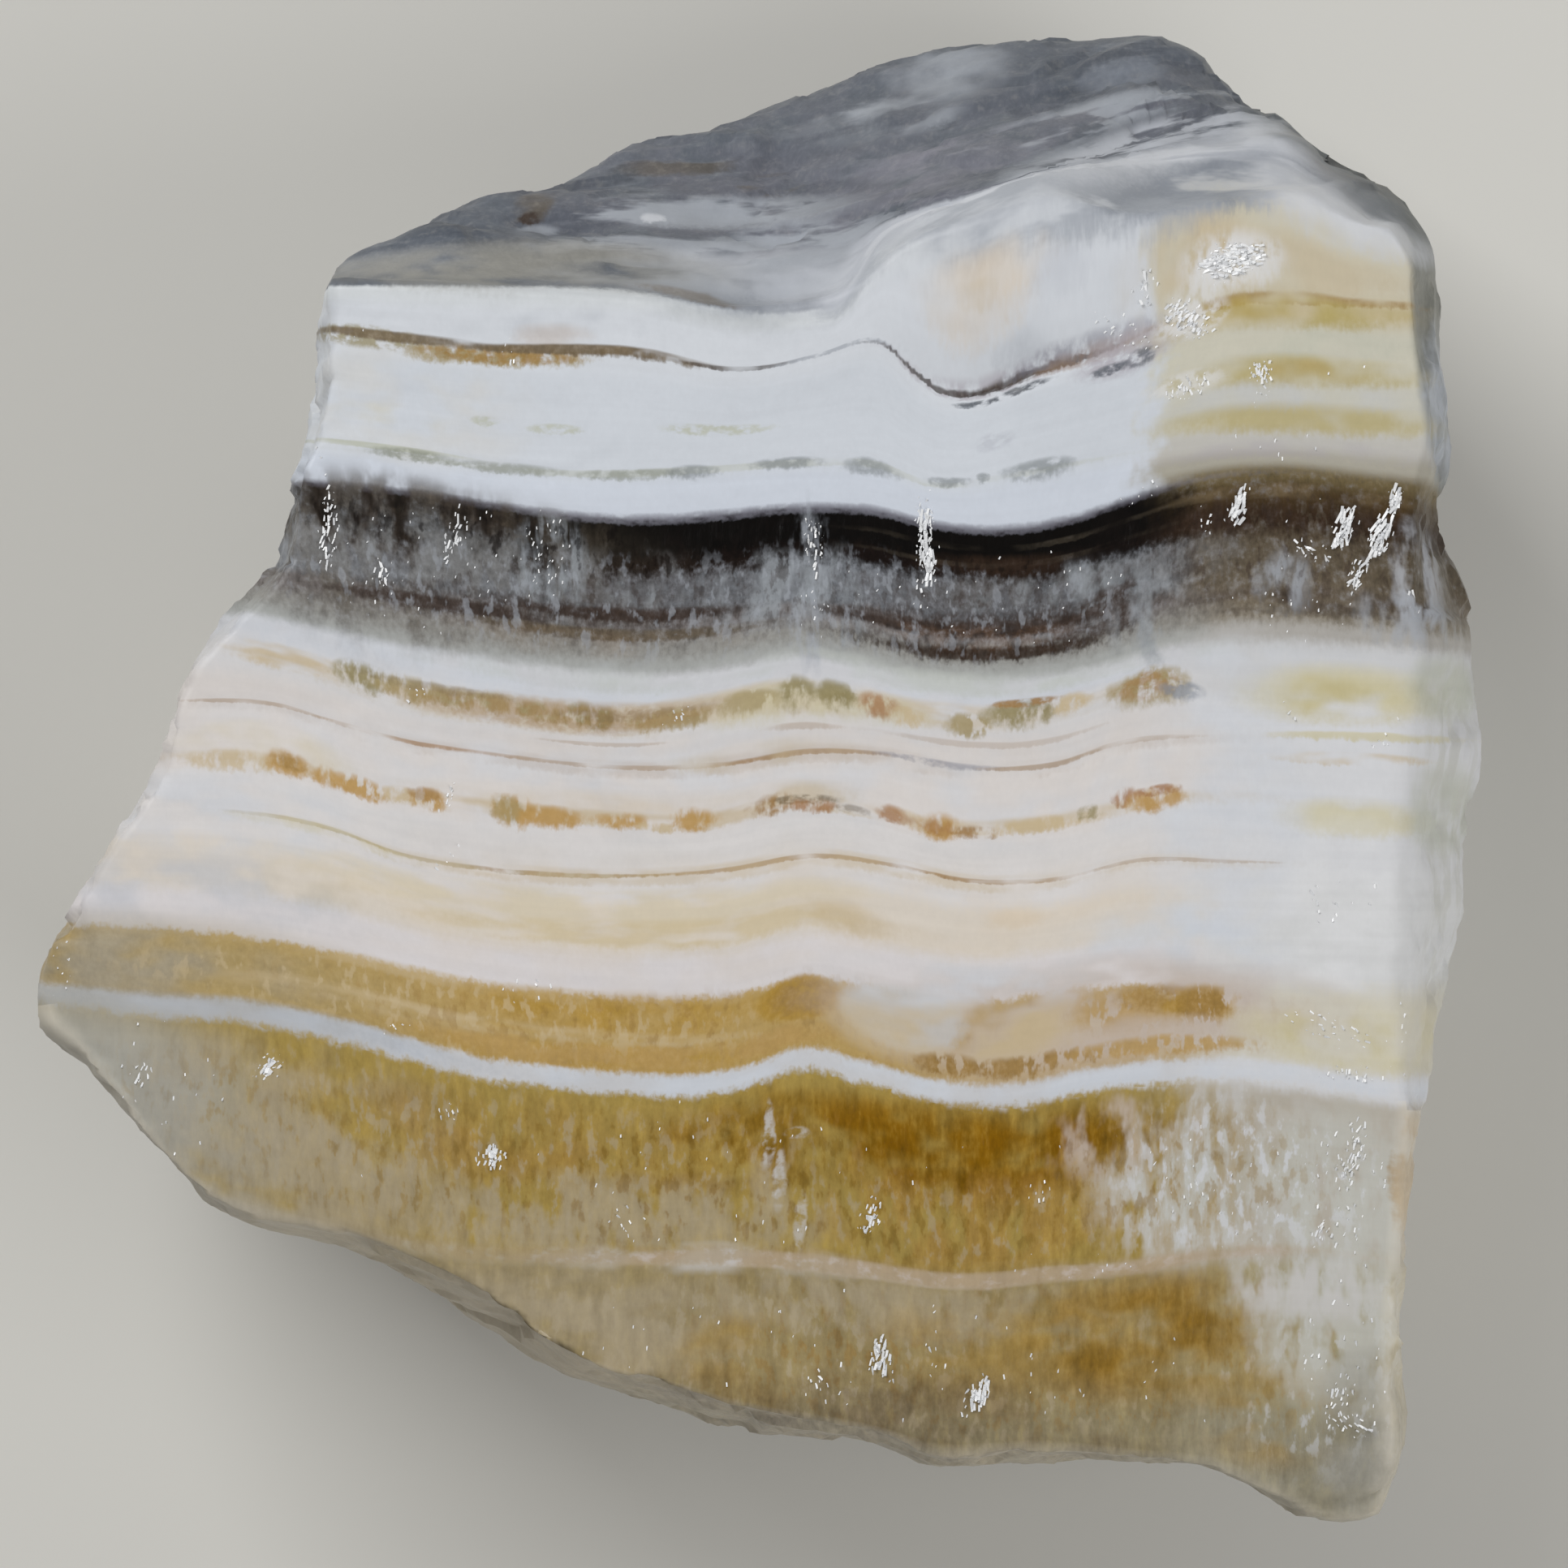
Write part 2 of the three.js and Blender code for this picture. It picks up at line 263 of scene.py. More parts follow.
FACE_TILT = 0.7, 0.93      # how level the skin is where the banded face begins, is full
CRACK = (8.6, 24.5, 4.0)   # from and to across, and its place in the pile
CRACK_DEEP = 0.35
CRACK_WIDE = 0.45
CRACK_ENDS = 0.6, 3        # mm over which it opens on the left, and closes on the right
SHELL = (39.3, -43.2, 1.9, 0.45)   # a shell-shaped break: x, y, radius, height
SHELL_RIPPLE = 0.25, 9     # the ripples on it: their share of its height, how close
INSIDE = 0.01              # mm that the skin keeps clear of the box's low sides
STEEP, STEP = 2.2, 0.5     # how steep a cleaved plane may be, and how far it may step
NOISE_APART = 31.7, 11.9, 23.3    # from one seed's place in the noise to the next
PLANES_APART = 13.7, 29.3, 7.9    # the same for the cleaved planes
TILTS_APART = 9.7                 # spreads the planes, so that each has its own tilt
HALF_WAY = 0.5, 0.5, 0.5          # the middle of what a cell draws at random

# Places where the outline is drawn out or pressed in: x, y, reach and how far, mm.
DABS = {
    "crest, right end": (27.0, 47.5, 3.5, 2.2),
    "crest, left end": (5.0, 48.0, 5.0, 0.4),
    "crest, shoulder": (3.0, 45.0, 5.0, 0.7),
    "spike on the right slope": (39.5, 43.2, 2.2, -1.8),
    "slope above the bump": (30.0, 44.5, 3.0, -0.6),
    "corner of the shoulder": (44.0, 36.5, 3.0, 0.6),
    "corner, top left": (-29.0, 33.5, 4.5, 0.8),
    "left slope": (-18.0, 37.0, 6.0, 0.5),
    "slope beside the corner": (-22.5, 35.5, 3.0, 1.3),
    "left side, upper": (-31.5, 22.5, 6.0, -0.4),
    "left side, lower": (-41.5, 0.5, 4.0, -0.6),
    "left tip": (-48.5, -17.5, 4.0, 1.2),
    "lower left, upper": (-43.0, -28.5, 6.0, -0.6),
    "lower left": (-22.0, -36.0, 5.0, -0.3),
    "lower left hollow": (-16.5, -40.0, 5.0, -1.2),
    "lower left, end": (-8.0, -44.0, 5.0, -0.6),
    "right side, upper": (45.5, 21.5, 4.0, 0.6),
    "right side, middle": (46.5, 8.5, 3.5, 0.7),
    "right side, belly": (47.0, -3.5, 3.5, -0.9),
    "right side, lower": (43.5, -25.0, 6.0, 0.8),
    "right side, low": (42.0, -36.0, 6.0, 0.9),
    "foot, right": (40.5, -46.5, 5.0, 1.4),
    "foot, left": (11.5, -46.0, 3.0, 0.5),
}


def soft_step(value, start, end):
    """0 below start, 1 above end, eased between."""
    t = np.clip((value - start) / (end - start), 0, 1)
    return t * t * (3 - 2 * t)


def read_points(mesh, kind="co"):
    """The mesh's vertex places, in mm, or its vertex normals."""
    found = np.empty(len(mesh.vertices) * 3, np.float32)
    if kind == "co":
        mesh.vertices.foreach_get("co", found)
        return found.reshape(-1, 3).astype(float) / MM
    mesh.vertex_normals.foreach_get("vector", found)
    return found.reshape(-1, 3).astype(float)


def noise_at(points, size, seed):
    """Noise from -1 to 1 at every point, with lumps about `size` mm across."""
    shift = Vector([seed * step for step in NOISE_APART])
    return np.array([noise.noise(Vector(p) + shift) for p in points / size])


def cleaved(points, size, seed):
    """Height of a surface broken into flat, tilted planes, from about -1 to 1."""
    shift = Vector([seed * step for step in PLANES_APART])
    heights = np.empty(len(points))
    for i, p in enumerate(points / np.array(size)):
        p = Vector(p) + shift
        middle = noise.voronoi(p)[1][0]
        tilt = noise.cell_vector(middle * TILTS_APART) - Vector(HALF_WAY)
        heights[i] = STEEP * tilt.dot(p - middle) + STEP * tilt.z
    return heights


def crack_and_shell(points, place):
    """How far the crack and the shell-shaped break move the banded face, in mm."""
    start, end, at = CRACK
    opens, closes = CRACK_ENDS
    along = soft_step(points[:, 0], start - opens, start) * soft_step(
        end - points[:, 0], 0, closes)
    crack = CRACK_DEEP * along * np.exp(-((place - at) / CRACK_WIDE) ** 2)
    x, y, radius, rise = SHELL
    out = np.hypot(points[:, 0] - x, points[:, 1] - y) / radius
    ripple, close = SHELL_RIPPLE
    shell = rise * np.clip(1 - out ** 2, 0, 1) * (1 + ripple * np.cos(close * out))
    return shell - crack


def kept_inside(points, lift):
    """The points again, inside the solid's box, with a flat resting face."""
    bottom, top = np.array(low) / MM, np.array(high) / MM
    points = np.clip(points, bottom + INSIDE * (lift > 0)[:, None], top)
    points[lift == 0, 2] = bottom[2]
    return points


def roughen(piece):
    """Moves every vertex out or in along its normal."""
    mesh = piece.data
    points, normals = read_points(mesh), read_points(mesh, "normal")
    place = bed_place(points)
    level = normals[:, 2]
    top = soft_step(-place, *(-end for end in GREY_TOP_ENDS)) * soft_step(
        TOP_TILT[0] - level, 0, TOP_TILT[1])
    calm = CALM_LEAST + (1 - CALM_LEAST) * soft_step(-place, 0.0, CALM_REACH)
    face = soft_step(level, *FACE_TILT) * (1 - top)
    flank = 1 - face - top
    lift = soft_step(points[:, 2], *REST)
    pile = np.column_stack([points[:, 0], place, points[:, 2]])

    def height(flanks, faces, tops):
        """How far a kind of roughness moves each point, by the part it is on."""
        return flank * flanks + face * faces + top * calm * tops

    size, *heights = SUGAR
    move = noise_at(pile, size, SUGAR_SEED) * height(*heights)
    for seed, (size, *heights) in enumerate(BREAKS.values(), 1):
        move += cleaved(pile, size, seed) * height(*heights)
    move += crack_and_shell(points, place) * face
    points += normals * (move * lift)[:, None]
    for x, y, reach, out in DABS.values():
        near = np.exp(-((points[:, 0] - x) ** 2 + (points[:, 1] - y) ** 2) / reach ** 2)
        points[:, :2] += normals[:, :2] * (out * near * lift)[:, None]
    points = kept_inside(points, lift)
    mesh.vertices.foreach_set("co", (points * MM).astype(np.float32).ravel())
    mesh.update()
    bed = mesh.attributes.new("bed", "FLOAT", "POINT")
    bed.data.foreach_set("value", bed_place(points).astype(np.float32))
    flat = mesh.attributes.new("face", "FLOAT", "POINT")
    flat.data.foreach_set("value", face.astype(np.float32))
    mesh.shade_smooth()
    return place


places = roughen(stone)
print("beds run from", round(places.min(), 1), "to", round(places.max(), 1), "mm")

# %% [markdown]
# ## A helper for shader nodes
# A shader is a chain of small steps, each a node. One helper adds a node, sets what
# it is told to, and links what comes from another node.

# %% A helper for shader nodes
def add(tree, kind, settings=None, **links):
    """Adds a node. Settings name its properties, and links its inputs, by name or
    as i0, i1 and so on. Each input takes a plain value or another node's output."""
    node = tree.nodes.new(kind)
    for name, value in (settings or {}).items():
        setattr(node, name, value)
    for name, value in links.items():
        by_number = name[0] == "i" and name[1:].isdigit()
        socket = node.inputs[int(name[1:]) if by_number else name]
        if isinstance(value, bpy.types.NodeSocket):
            tree.links.new(value, socket)
        else:
            socket.default_value = value
    return node


# %% [markdown]
# ## Beds
# Zebra calcite grew bed upon bed on the wall of a cavity. Every bed has its own
# colour, from the iron, manganese or clay in the water of its time, and an upper edge
# that is soft or torn where new crystals took over. The pile is written here as a
# list, so that it runs right through the stone and shows on every side of it.

# %% Beds
# Each bed: where it starts (mm down the pile), how soft its upper edge is, how
# ragged (both mm), and its colour.
MAIN_BEDS = [
    ("white under the grey", 0.0, 0.38, 0.24, "#c4c8cb"),
    ("chalk white", 1.2, 1.35, 0.35, "#c7cbd1"),
    ("bluish white", 5.2, 1.8, 0.56, "#c4c9d0"),
    ("cold white", 12.5, 1.05, 0.35, "#c4cad4"),
    ("blue-black edge", 14.8, 0.6, 0.24, "#46424a"),
    ("black", 15.1, 0.52, 0.35, "#060403"),
    ("brown black", 17.4, 1.35, 0.63, "#150d0a"),
    ("smoke grey", 18.6, 1.35, 1.26, "#767a80"),
    ("grey brown", 21.4, 0.75, 0.56, "#6f6a69"),
    ("pale smoke", 23.0, 1.35, 0.7, "#8a8985"),
    ("grey to white", 24.3, 1.35, 0.56, "#9d9f9d"),
    ("white below the dark", 25.3, 0.9, 0.35, "#c3c4c8"),
    ("cream white", 27.2, 1.8, 0.49, "#c8c7c8"),
    ("warm white", 29.6, 1.6, 0.49, "#cbc6c3"),
    ("white, lined", 31.8, 0.9, 0.35, "#cfcac7"),
    ("white, third", 35.9, 0.9, 0.42, "#cfcccb"),
    ("cream", 40.6, 1.35, 0.63, "#cec6bb"),
    ("white above the tan", 44.0, 1.35, 0.56, "#cecacb"),
    ("tan", 46.9, 0.6, 0.9, "#ab9058"),
    ("white line", 51.9, 0.6, 0.75, "#bfc0c3"),
    ("amber", 53.3, 0.7, 1.0, "#9a8446"),
    ("pale line", 64.1, 0.75, 0.56, "#a39880"),
    ("lower amber", 65.0, 0.9, 0.7, "#8f7f58"),
    ("beige foot", 74.0, 4.5, 1.4, "#857b5f"),
]
# The right-hand side grew with more iron in it.
RIGHT_BEDS = [
    ("cream shoulder", 0.0, 0.6, 0.35, "#bdbdb9"),
    ("cream, upper", 1.1, 1.2, 0.42, "#bfbaa9"),
    ("gold under cream", 3.9, 1.2, 0.21, "#bbaf90"),
    ("cream, first", 5.3, 1.35, 0.21, "#c0bdae"),
    ("cream, second", 8.9, 1.05, 0.42, "#bcbaae"),
    ("cream, third", 11.4, 0.9, 0.42, "#b6b4ae"),
    ("lilac grey", 12.9, 1.35, 0.42, "#a09c90"),
    ("olive brown", 14.4, 1.2, 0.42, "#6b5e42"),
    ("umber", 15.6, 1.4, 0.49, "#453620"),
    ("brown black", 17.0, 1.35, 0.56, "#35271b"),
    ("grey brown", 18.8, 2.1, 0.7, "#5a5041"),
    ("smoke", 21.8, 1.8, 0.56, "#675d4f"),
    ("mouse", 23.4, 1.2, 0.49, "#7d7567"),
    ("grey to white", 24.4, 1.05, 0.49, "#a3a09b"),
    ("white below the dark", 25.6, 1.05, 0.42, "#c0c1c3"),
    ("milky white", 29.0, 1.5, 0.56, "#cacbce"),
    ("milky white, lower", 40.0, 3, 0.56, "#c9cacb"),
    ("milk over tan", 47.2, 1.8, 0.56, "#c4c0b3"),
    ("white line", 51.8, 0.75, 0.42, "#c6c7ca"),
    ("milky grey", 53.5, 1.2, 0.7, "#aca69b"),
    ("pale line", 64.1, 0.9, 0.56, "#a59c89"),
    ("milky amber", 65.3, 1.2, 0.7, "#988e6e"),
    ("beige foot", 74.0, 4.5, 1.4, "#8a8470"),
]
GREY_TOP = "#5c626b"   # above the first bed of the list
MILKY = "#a59f93"      # crystal bruising, painted lighter on the amber flanks, and the grains that OWN_MILK doesn't name
OWN_MILK = {"calcite_black_band": "#777c84", "calcite_smoky_band": "#868b92",
            "calcite_amber": "#a28b47", "calcite_lower_amber": "#8f8254"}
# How strongly a bed's skin shines, where it isn't as strong as on the rest.
SHEEN = {"calcite_black_band": 0.15, "calcite_smoky_band": 0.2, "calcite_amber": 0.14}
# mm across where the one side turns into the other, and over how many mm it does so:
# above the dark band, and below it.
SIDES_MEET = 25.4, 28.0
MEET_WIDTH = 1.2, 4.5

# %% [markdown]
# ## Patterns
# Everything that varies inside a bed follows how calcite grew: upright columns and
# sheaves of crystals, flat films of clay between them, and crumbs where it broke.
# Each is noise with the size of the real thing. The finest grain of the stone, a
# tenth of a millimetre, is drawn three times coarser, so that it doesn't flicker.

# %% Patterns
# Every pattern is noise in the stone's own coordinates. Its size is given in mm
# across the stone, down the pile and through to the back, then its detail.
PATTERNS = {
    "columns": ((0.62, 2.7, 0.62), 3.0),
    "sheaves": ((1.9, 4.2, 1.9), 3.0),
    "clouds": ((4.6, 2.8, 4.6), 2.0),
    "dashes": ((4.5, 1.4, 4.5), 2.0),
    "crumbs": ((0.9, 0.7, 0.9), 3.0),
    "films": ((14.0, 0.5, 14.0), 1.0),
    "wisps": ((9.0, 1.4, 5.0), 4.0),
    "grain": ((0.30, 0.45, 0.30), 3.0),
    "dabs": ((0.75, 1.6, 0.75), 3.0),
}
CELLS = (0.75, 1.9, 0.75)   # mm, the size of one crystal's end on the broken face

# %% [markdown]
# ## Colours and kinds of mark
# A colour is named for what it looks like in the hand. A kind of mark says how soft
# and how torn its edge is and what breaks it up: a film is thin and long, a row of
# ochre is crumbly, a sheaf stands upright because the crystals grew upright. In a
# ready-made picture each stain would be drawn; here a few kinds of noise draw all of
# them, so a mark can be moved or made wider by changing two numbers.

# %% Colours and kinds of mark
PALETTE = {
    "snow": "#d3d4d6", "chalk": "#c6c9cf", "cold white": "#c3c9d2", "pearl": "#b6bac2",
    "dove": "#9da2aa", "slate": "#7c828c", "dark slate": "#575d66", "ink": "#3c424c",
    "lilac": "#a39ea6", "mauve": "#82828d", "blue smoke": "#8b9095",
    "smoke": "#6b6b6b", "brown smoke": "#5c5346", "dark brown": "#3a2f29",
    "umber": "#32241a", "black": "#0b0706",
    "milk": "#bbb9b7", "rose milk": "#b7aa9f", "cream": "#cbc0a8",
    "deep cream": "#c5b592", "peach": "#cdbfab", "straw": "#c1b994", "sand": "#bcaa88",
    "ochre": "#9a8a60", "olive ochre": "#887d54", "rust": "#957345", "orange": "#b08c50",
    "red rust": "#9a6e44", "brown": "#6b5c45", "thread": "#a18c76",
    "sage": "#83877b", "grey sage": "#747a7c", "pale sage": "#b1b4a6",
    "gold": "#a99a5c", "tan": "#ac8d55", "amber": "#a5822f", "brown amber": "#93733a",
    "honey": "#947a40", "moss grey": "#565b5a", "deep amber": "#7f5c06",
    "deepest amber": "#785203", "putty": "#9c9078", "ash": "#94928a", "chalk edge": "#b4b4ad",
}
KINDS = {
    # kind: (blur, torn across mm, torn down mm, pattern, where it starts, is full)
    "wash": (0.95, 0.8, 0.40, "even", 0.0, 0.5),
    "spot": (0.60, 0.4, 0.12, "even", 0.0, 0.5),
    "plane": (0.10, 0.3, 0.10, "even", 0.0, 0.5),
    "cloud": (0.85, 0.8, 0.35, "clouds", 0.22, 0.56),
    "haze": (0.90, 0.8, 0.35, "clouds", 0.34, 0.66),
    "wisp": (0.75, 0.6, 0.30, "wisps", 0.41, 0.54),
    "faint wisp": (0.75, 0.6, 0.30, "wisps", 0.46, 0.60),
    "streak": (0.72, 0.6, 0.30, "dashes", 0.31, 0.58),
    "line": (0.60, 0.6, 0.12, "dashes", 0.24, 0.52),
    "row": (0.80, 0.8, 0.45, "dabs", 0.32, 0.54),
    "film": (0.70, 0.6, 0.16, "dashes", 0.22, 0.46),
    "broken row": (0.75, 0.8, 0.40, "dabs", 0.41, 0.52),
    "dust": (0.75, 0.8, 0.32, "crumbs", 0.26, 0.54),
    "crumbs": (0.60, 0.6, 0.22, "crumbs", 0.34, 0.58),
    "veil": (0.85, 0.8, 0.70, "sheaves", 0.42, 0.60),
    "sheaf": (0.85, 1.4, 0.55, "sheaves", 0.34, 0.53),
    "fibres": (0.75, 0.8, 0.45, "columns", 0.38, 0.66),
    "pale dabs": (0.85, 0.8, 0.50, "dabs", 0.54, 0.64),
    "dark dabs": (0.85, 0.8, 0.50, "dabs", 0.46, 0.36),
    "block": (0.35, 0.5, 0.30, "even", 0.0, 0.5),
}

# %% [markdown]
# ## Marks on the grey crust and in the upper whites
# Each mark: kind, colour, strength, from and to across the stone, from and to down
# the pile, all mm. The crust's broken back was last to form: slate grey with
# smeared pale and dark films, and small brown stains in its hollows.

# %% Marks on the grey crust and in the upper whites
CRUST_MARKS = {
    "pale wisps": ("faint wisp", "dove", 0.85, -34, 46, -19, -0.8),
    "dark wisps": ("haze", "dark slate", 0.80, -34, 46, -19, -0.5),
    "ink wisps": ("faint wisp", "ink", 0.85, -30, 40, -17, -3),
    "mauve wisps": ("haze", "mauve", 0.60, -17, 29, -13, -2.5),
    "pale dome": ("wash", "dove", 0.70, 9, 16.5, -14, -10.8),
    "pale dome, lit side": ("cloud", "dove", 0.60, 9.5, 15, -14, -11.5),
    "light streak on the crest": ("wisp", "dove", 0.95, 2.5, 13, -11.3, -9.3),
    # Painted shade: the crest's dark side, the hollow and the cleft are darkened in colour
    # where the relief falls into shade.
    "painted shade, crest's dark side": ("wisp", "dark slate", 0.75, 16, 22, -13, -9.6),
    "hollow": ("wisp", "ink", 0.75, 19.5, 26, -11, -7.2),
    "light rib": ("wash", "slate", 0.90, 22, 27.5, -11.3, -9.4),
    "cleft": ("wisp", "ink", 0.90, 25, 31, -9, -5.8),
    "shelf": ("wisp", "dark slate", 0.85, 12.5, 27, -7.4, -3.4),
    "deep slate, crest": ("haze", "dark slate", 0.80, -8, 30, -16, -8),
    "deep slate, left": ("haze", "ink", 0.50, -30, 4, -9, -4),
    "mauve shelf": ("wisp", "mauve", 0.75, 6.5, 24.5, -8.7, -7),
    "pale lip": ("wisp", "dove", 0.85, 15, 23, -6.6, -2.2),
    "lilac tongue": ("wisp", "pearl", 0.95, 18, 36, -6.6, -3),
    "lilac tongue, upper": ("wisp", "dove", 0.90, 14, 32, -9, -6.8),
    "lilac tongue, lower": ("cloud", "pearl", 0.70, 20, 34, -3.6, -0.6),
    "bright ledge end": ("cloud", "chalk", 0.95, 32, 38, -4.8, -1),
    "grey corner": ("wash", "moss grey", 0.85, 35, 52, -10, -0.8),
    "grey corner, dark": ("haze", "brown smoke", 0.60, 36, 44, -5, -0.6),
    "pale rows": ("wisp", "dove", 0.95, -16, 5, -7.2, -5.4),
    "second pale rows": ("wisp", "dove", 0.85, -16, 2, -4.7, -2.5),
    "pale slope": ("cloud", "pearl", 0.75, -9, 9, -4, -0.9),
    "pale slope, upper": ("wisp", "dove", 0.90, -3, 8, -5.6, -2.6),
    "grey over the white": ("cloud", "pearl", 0.90, 0, 14, -2.8, 0.3),
    "soft contact": ("wash", "pearl", 0.85, 1, 38, -3.2, 1.1),
    "slate streak": ("spot", "dark slate", 0.90, -14.8, -5.8, -2.4, -1.2),
    "slate streak, left": ("faint wisp", "dark slate", 0.70, -27, -14, -6.3, -2.6),
    "left shade": ("cloud", "slate", 0.60, -30, -20, -4, -1.5),
    "ash slope, left": ("cloud", "ash", 0.75, -31, -4, -4.0, 0.1),
    "dove slope": ("haze", "dove", 0.65, -14, 6, -2.6, 0.2),
    "brown smear": ("haze", "brown smoke", 0.80, -17.6, -14.8, -7.8, -5.9),
    "dark spot": ("crumbs", "dark brown", 0.95, -17.3, -15.5, -6.5, -5.6),
    "pale fleck": ("haze", "dove", 0.80, -17.6, -14.4, -5.6, -4.6),
    "bright chip": ("wash", "chalk", 0.85, -8.8, -7.3, -6.2, -5.7),
    "brown films on the crest": ("faint wisp", "brown smoke", 0.60, -10, -3, -9.9, -8.4),
    "brown films, middle": ("faint wisp", "brown smoke", 0.75, -2, 2, -8.4, -7.2),
    "olive fringe": ("faint wisp", "brown", 0.50, -8.5, 0.5, -0.9, -0.1),
    "white wisps above the contact": ("wisp", "chalk", 0.85, 5, 36, -2.4, 0.6),
    "grey wisps below the contact": ("wisp", "dove", 0.85, 5, 37, -0.4, 1.5),
    "slate wisps below the contact": ("wisp", "slate", 0.80, 22, 38, -0.4, 1.5),
    # Painted shade: a grey cloud laid below the ledge, where its step falls into shade.
    "painted shade under the ledge": ("cloud", "dove", 0.75, 23.5, 30, 0.7, 2.0),
    "white ledge": ("wisp", "chalk", 0.80, 17, 30, -2.4, 0.4),
}
UPPER_MARKS = {
    "cream, left": ("haze", "cream", 0.25, -32, -17, 4.3, 12.5),
    "straw tint, left": ("haze", "straw", 0.35, -28.5, -22, 8.5, 10),
    "grey haze, middle": ("haze", "dove", 0.40, -17.5, -9, 1.4, 3.2),
    "blush": ("cloud", "rose milk", 0.50, -16.7, -12, 2.3, 3.9),
    "brown blur": ("crumbs", "olive ochre", 0.80, -31, -23, 3.1, 4.7),
    "ochre under the line, left": ("row", "ochre", 0.80, -24.5, -20, 3.8, 5.1),
    "ochre under the line": ("row", "ochre", 0.90, -22, -12.5, 3.8, 5.0),
    "ochre heart": ("crumbs", "brown amber", 0.85, -23.5, -12.5, 3.7, 4.9),
    "brown line, left": ("line", "brown", 0.90, -31, -20, 3.3, 4.05),
    "brown line, middle": ("line", "brown", 0.95, -22, -3.5, 3.5, 4.15),
    "brown line, right": ("row", "brown", 0.80, -14, -4.5, 3.7, 4.3),
    "olive line": ("line", "dark brown", 0.70, -6, 1.8, 3.7, 4.05),
    "grey line": ("crumbs", "dove", 0.80, 0, 9.3, 3.75, 4.1),
    "peach": ("cloud", "peach", 0.50, 10.3, 17.5, 1.2, 3.0),
    "peach, upper": ("haze", "peach", 0.60, 13, 19, 1.1, 2.2),
    "peach heart": ("haze", "sand", 0.60, 12.8, 15.2, 1.7, 2.3),
    "blue shade in the lump": ("cloud", "pearl", 0.60, 17.5, 21.5, 1.6, 2.6),
    "shade over the crack": ("haze", "dove", 0.50, 15.5, 22.5, 2.9, 3.8),
    "crack halo": ("crumbs", "lilac", 0.70, 8, 25, 3.6, 4.5),
    "crack": ("spot", "dark brown", 0.80, 7.2, 24, 3.82, 4.16),
    "crack, thick": ("crumbs", "dark brown", 0.85, 12.5, 22.5, 3.75, 4.3),
    "crack, lilac side": ("dust", "mauve", 0.60, 16.5, 26, 3.45, 4.15),
    "rose beside the crack": ("dust", "rust", 0.35, 18, 26, 3.7, 4.6),
    "chips under the crack": ("crumbs", "dark slate", 0.95, 12.3, 15.3, 4.6, 5.2),
    "chips under the crack, right": ("crumbs", "ink", 0.90, 14.8, 18.9, 4.5, 5.2),
    "crushed, lilac": ("dust", "lilac", 0.75, 20.6, 27, 3.7, 6.2),
    "crushed, dark": ("crumbs", "dark slate", 0.90, 21.4, 24, 5.1, 5.9),
    "crushed, dark, right": ("crumbs", "dark slate", 0.80, 23.8, 25.8, 4.9, 6.1),
    "faint dash, left": ("crumbs", "pale sage", 0.80, -20, -18, 8.5, 9.2),
    "faint dash, second": ("crumbs", "pale sage", 0.80, -16.2, -12.5, 8.8, 9.5),
    "faint dash, third": ("crumbs", "pale sage", 0.90, -7, 0.2, 8.5, 9.4),
    "faint cloud": ("crumbs", "pearl", 0.90, 13.8, 16.2, 7.9, 9.6),
    "sage thread, left": ("line", "pale sage", 0.85, -32, -20, 11.4, 11.8),
    "sage thread": ("line", "pale sage", 0.45, -24, 22.5, 11.8, 12.3),
    "sage, first": ("dust", "sage", 0.80, -26.5, -21, 11.5, 12.4),
    "sage, second": ("dust", "sage", 0.66, -21, -14, 11.6, 12.4),
    "sage, third": ("dust", "sage", 0.66, -12.6, -5.7, 11.8, 12.5),
    "sage, fourth": ("dust", "grey sage", 0.66, -6.6, -3.6, 11.7, 12.6),
    "sage, fifth": ("dust", "grey sage", 0.66, -1, 3.4, 11.6, 12.4),
    "sage, sixth": ("dust", "grey sage", 0.66, 5, 8.5, 11.7, 12.8),
    "sage, seventh": ("dust", "grey sage", 0.66, 10.7, 13.2, 11.4, 12.2),
    "sage, eighth": ("dust", "grey sage", 0.66, 13.9, 14.8, 11.4, 12.2),
    "sage, ninth": ("dust", "grey sage", 0.66, 16, 20, 11.2, 12.5),
    "side strip": ("plane", "moss grey", 0.80, 43.3, 62, -14, 20),
    "side strip, bluish": ("cloud", "dove", 0.75, 44.2, 49, 4.5, 13.2),
    "side strip, cold light": ("veil", "cold white", 0.40, 44.4, 48.4, 5, 13.5),
    "rim of the shoulder": ("cloud", "chalk", 0.80, 32.5, 45.5, -0.6, 1.9),
    "shoulder haze, left": ("haze", "sand", 0.65, 23.5, 33, 1.6, 3.6),
    "shoulder haze": ("cloud", "sand", 0.45, 28.5, 42.5, 2.1, 3.9),
    "gold line, first": ("streak", "brown amber", 0.75, 25.5, 43.5, 3.75, 4.3),
    "gold, first": ("cloud", "gold", 0.90, 26, 42, 3.9, 5.6),
    "gold, first heart": ("haze", "amber", 0.45, 27, 36, 4.0, 5.3),
    "cream under the gold": ("haze", "pale sage", 0.40, 26.5, 43.5, 5.5, 7.4),
    "gold, second": ("cloud", "gold", 0.75, 27, 43.5, 7.2, 8.9),
    "gold, second heart": ("haze", "amber", 0.30, 33, 40, 7.4, 8.7),
    "gold, third": ("cloud", "gold", 0.70, 27, 45, 9.9, 11.6),
    "lilac between the golds": ("haze", "pearl", 0.45, 26, 44, 8.6, 10.2),
    "lilac over the olive": ("haze", "lilac", 0.40, 26, 44.5, 12, 13.6),
    "frost on the shoulder": ("dust", "snow", 0.85, 27.6, 34.4, 2.1, 3.6),
    "frost, lower": ("crumbs", "snow", 0.70, 25.8, 30.8, 3.3, 5.5),
    "frost on the second gold": ("crumbs", "snow", 0.60, 25.2, 30.6, 7.5, 8.9),
}

# %% [markdown]
# ## Marks in the dark band
# The black and smoky beds are clear calcite full of manganese and clay. Upright veils
# of healed cracks whiten them; torn brown films cross them.

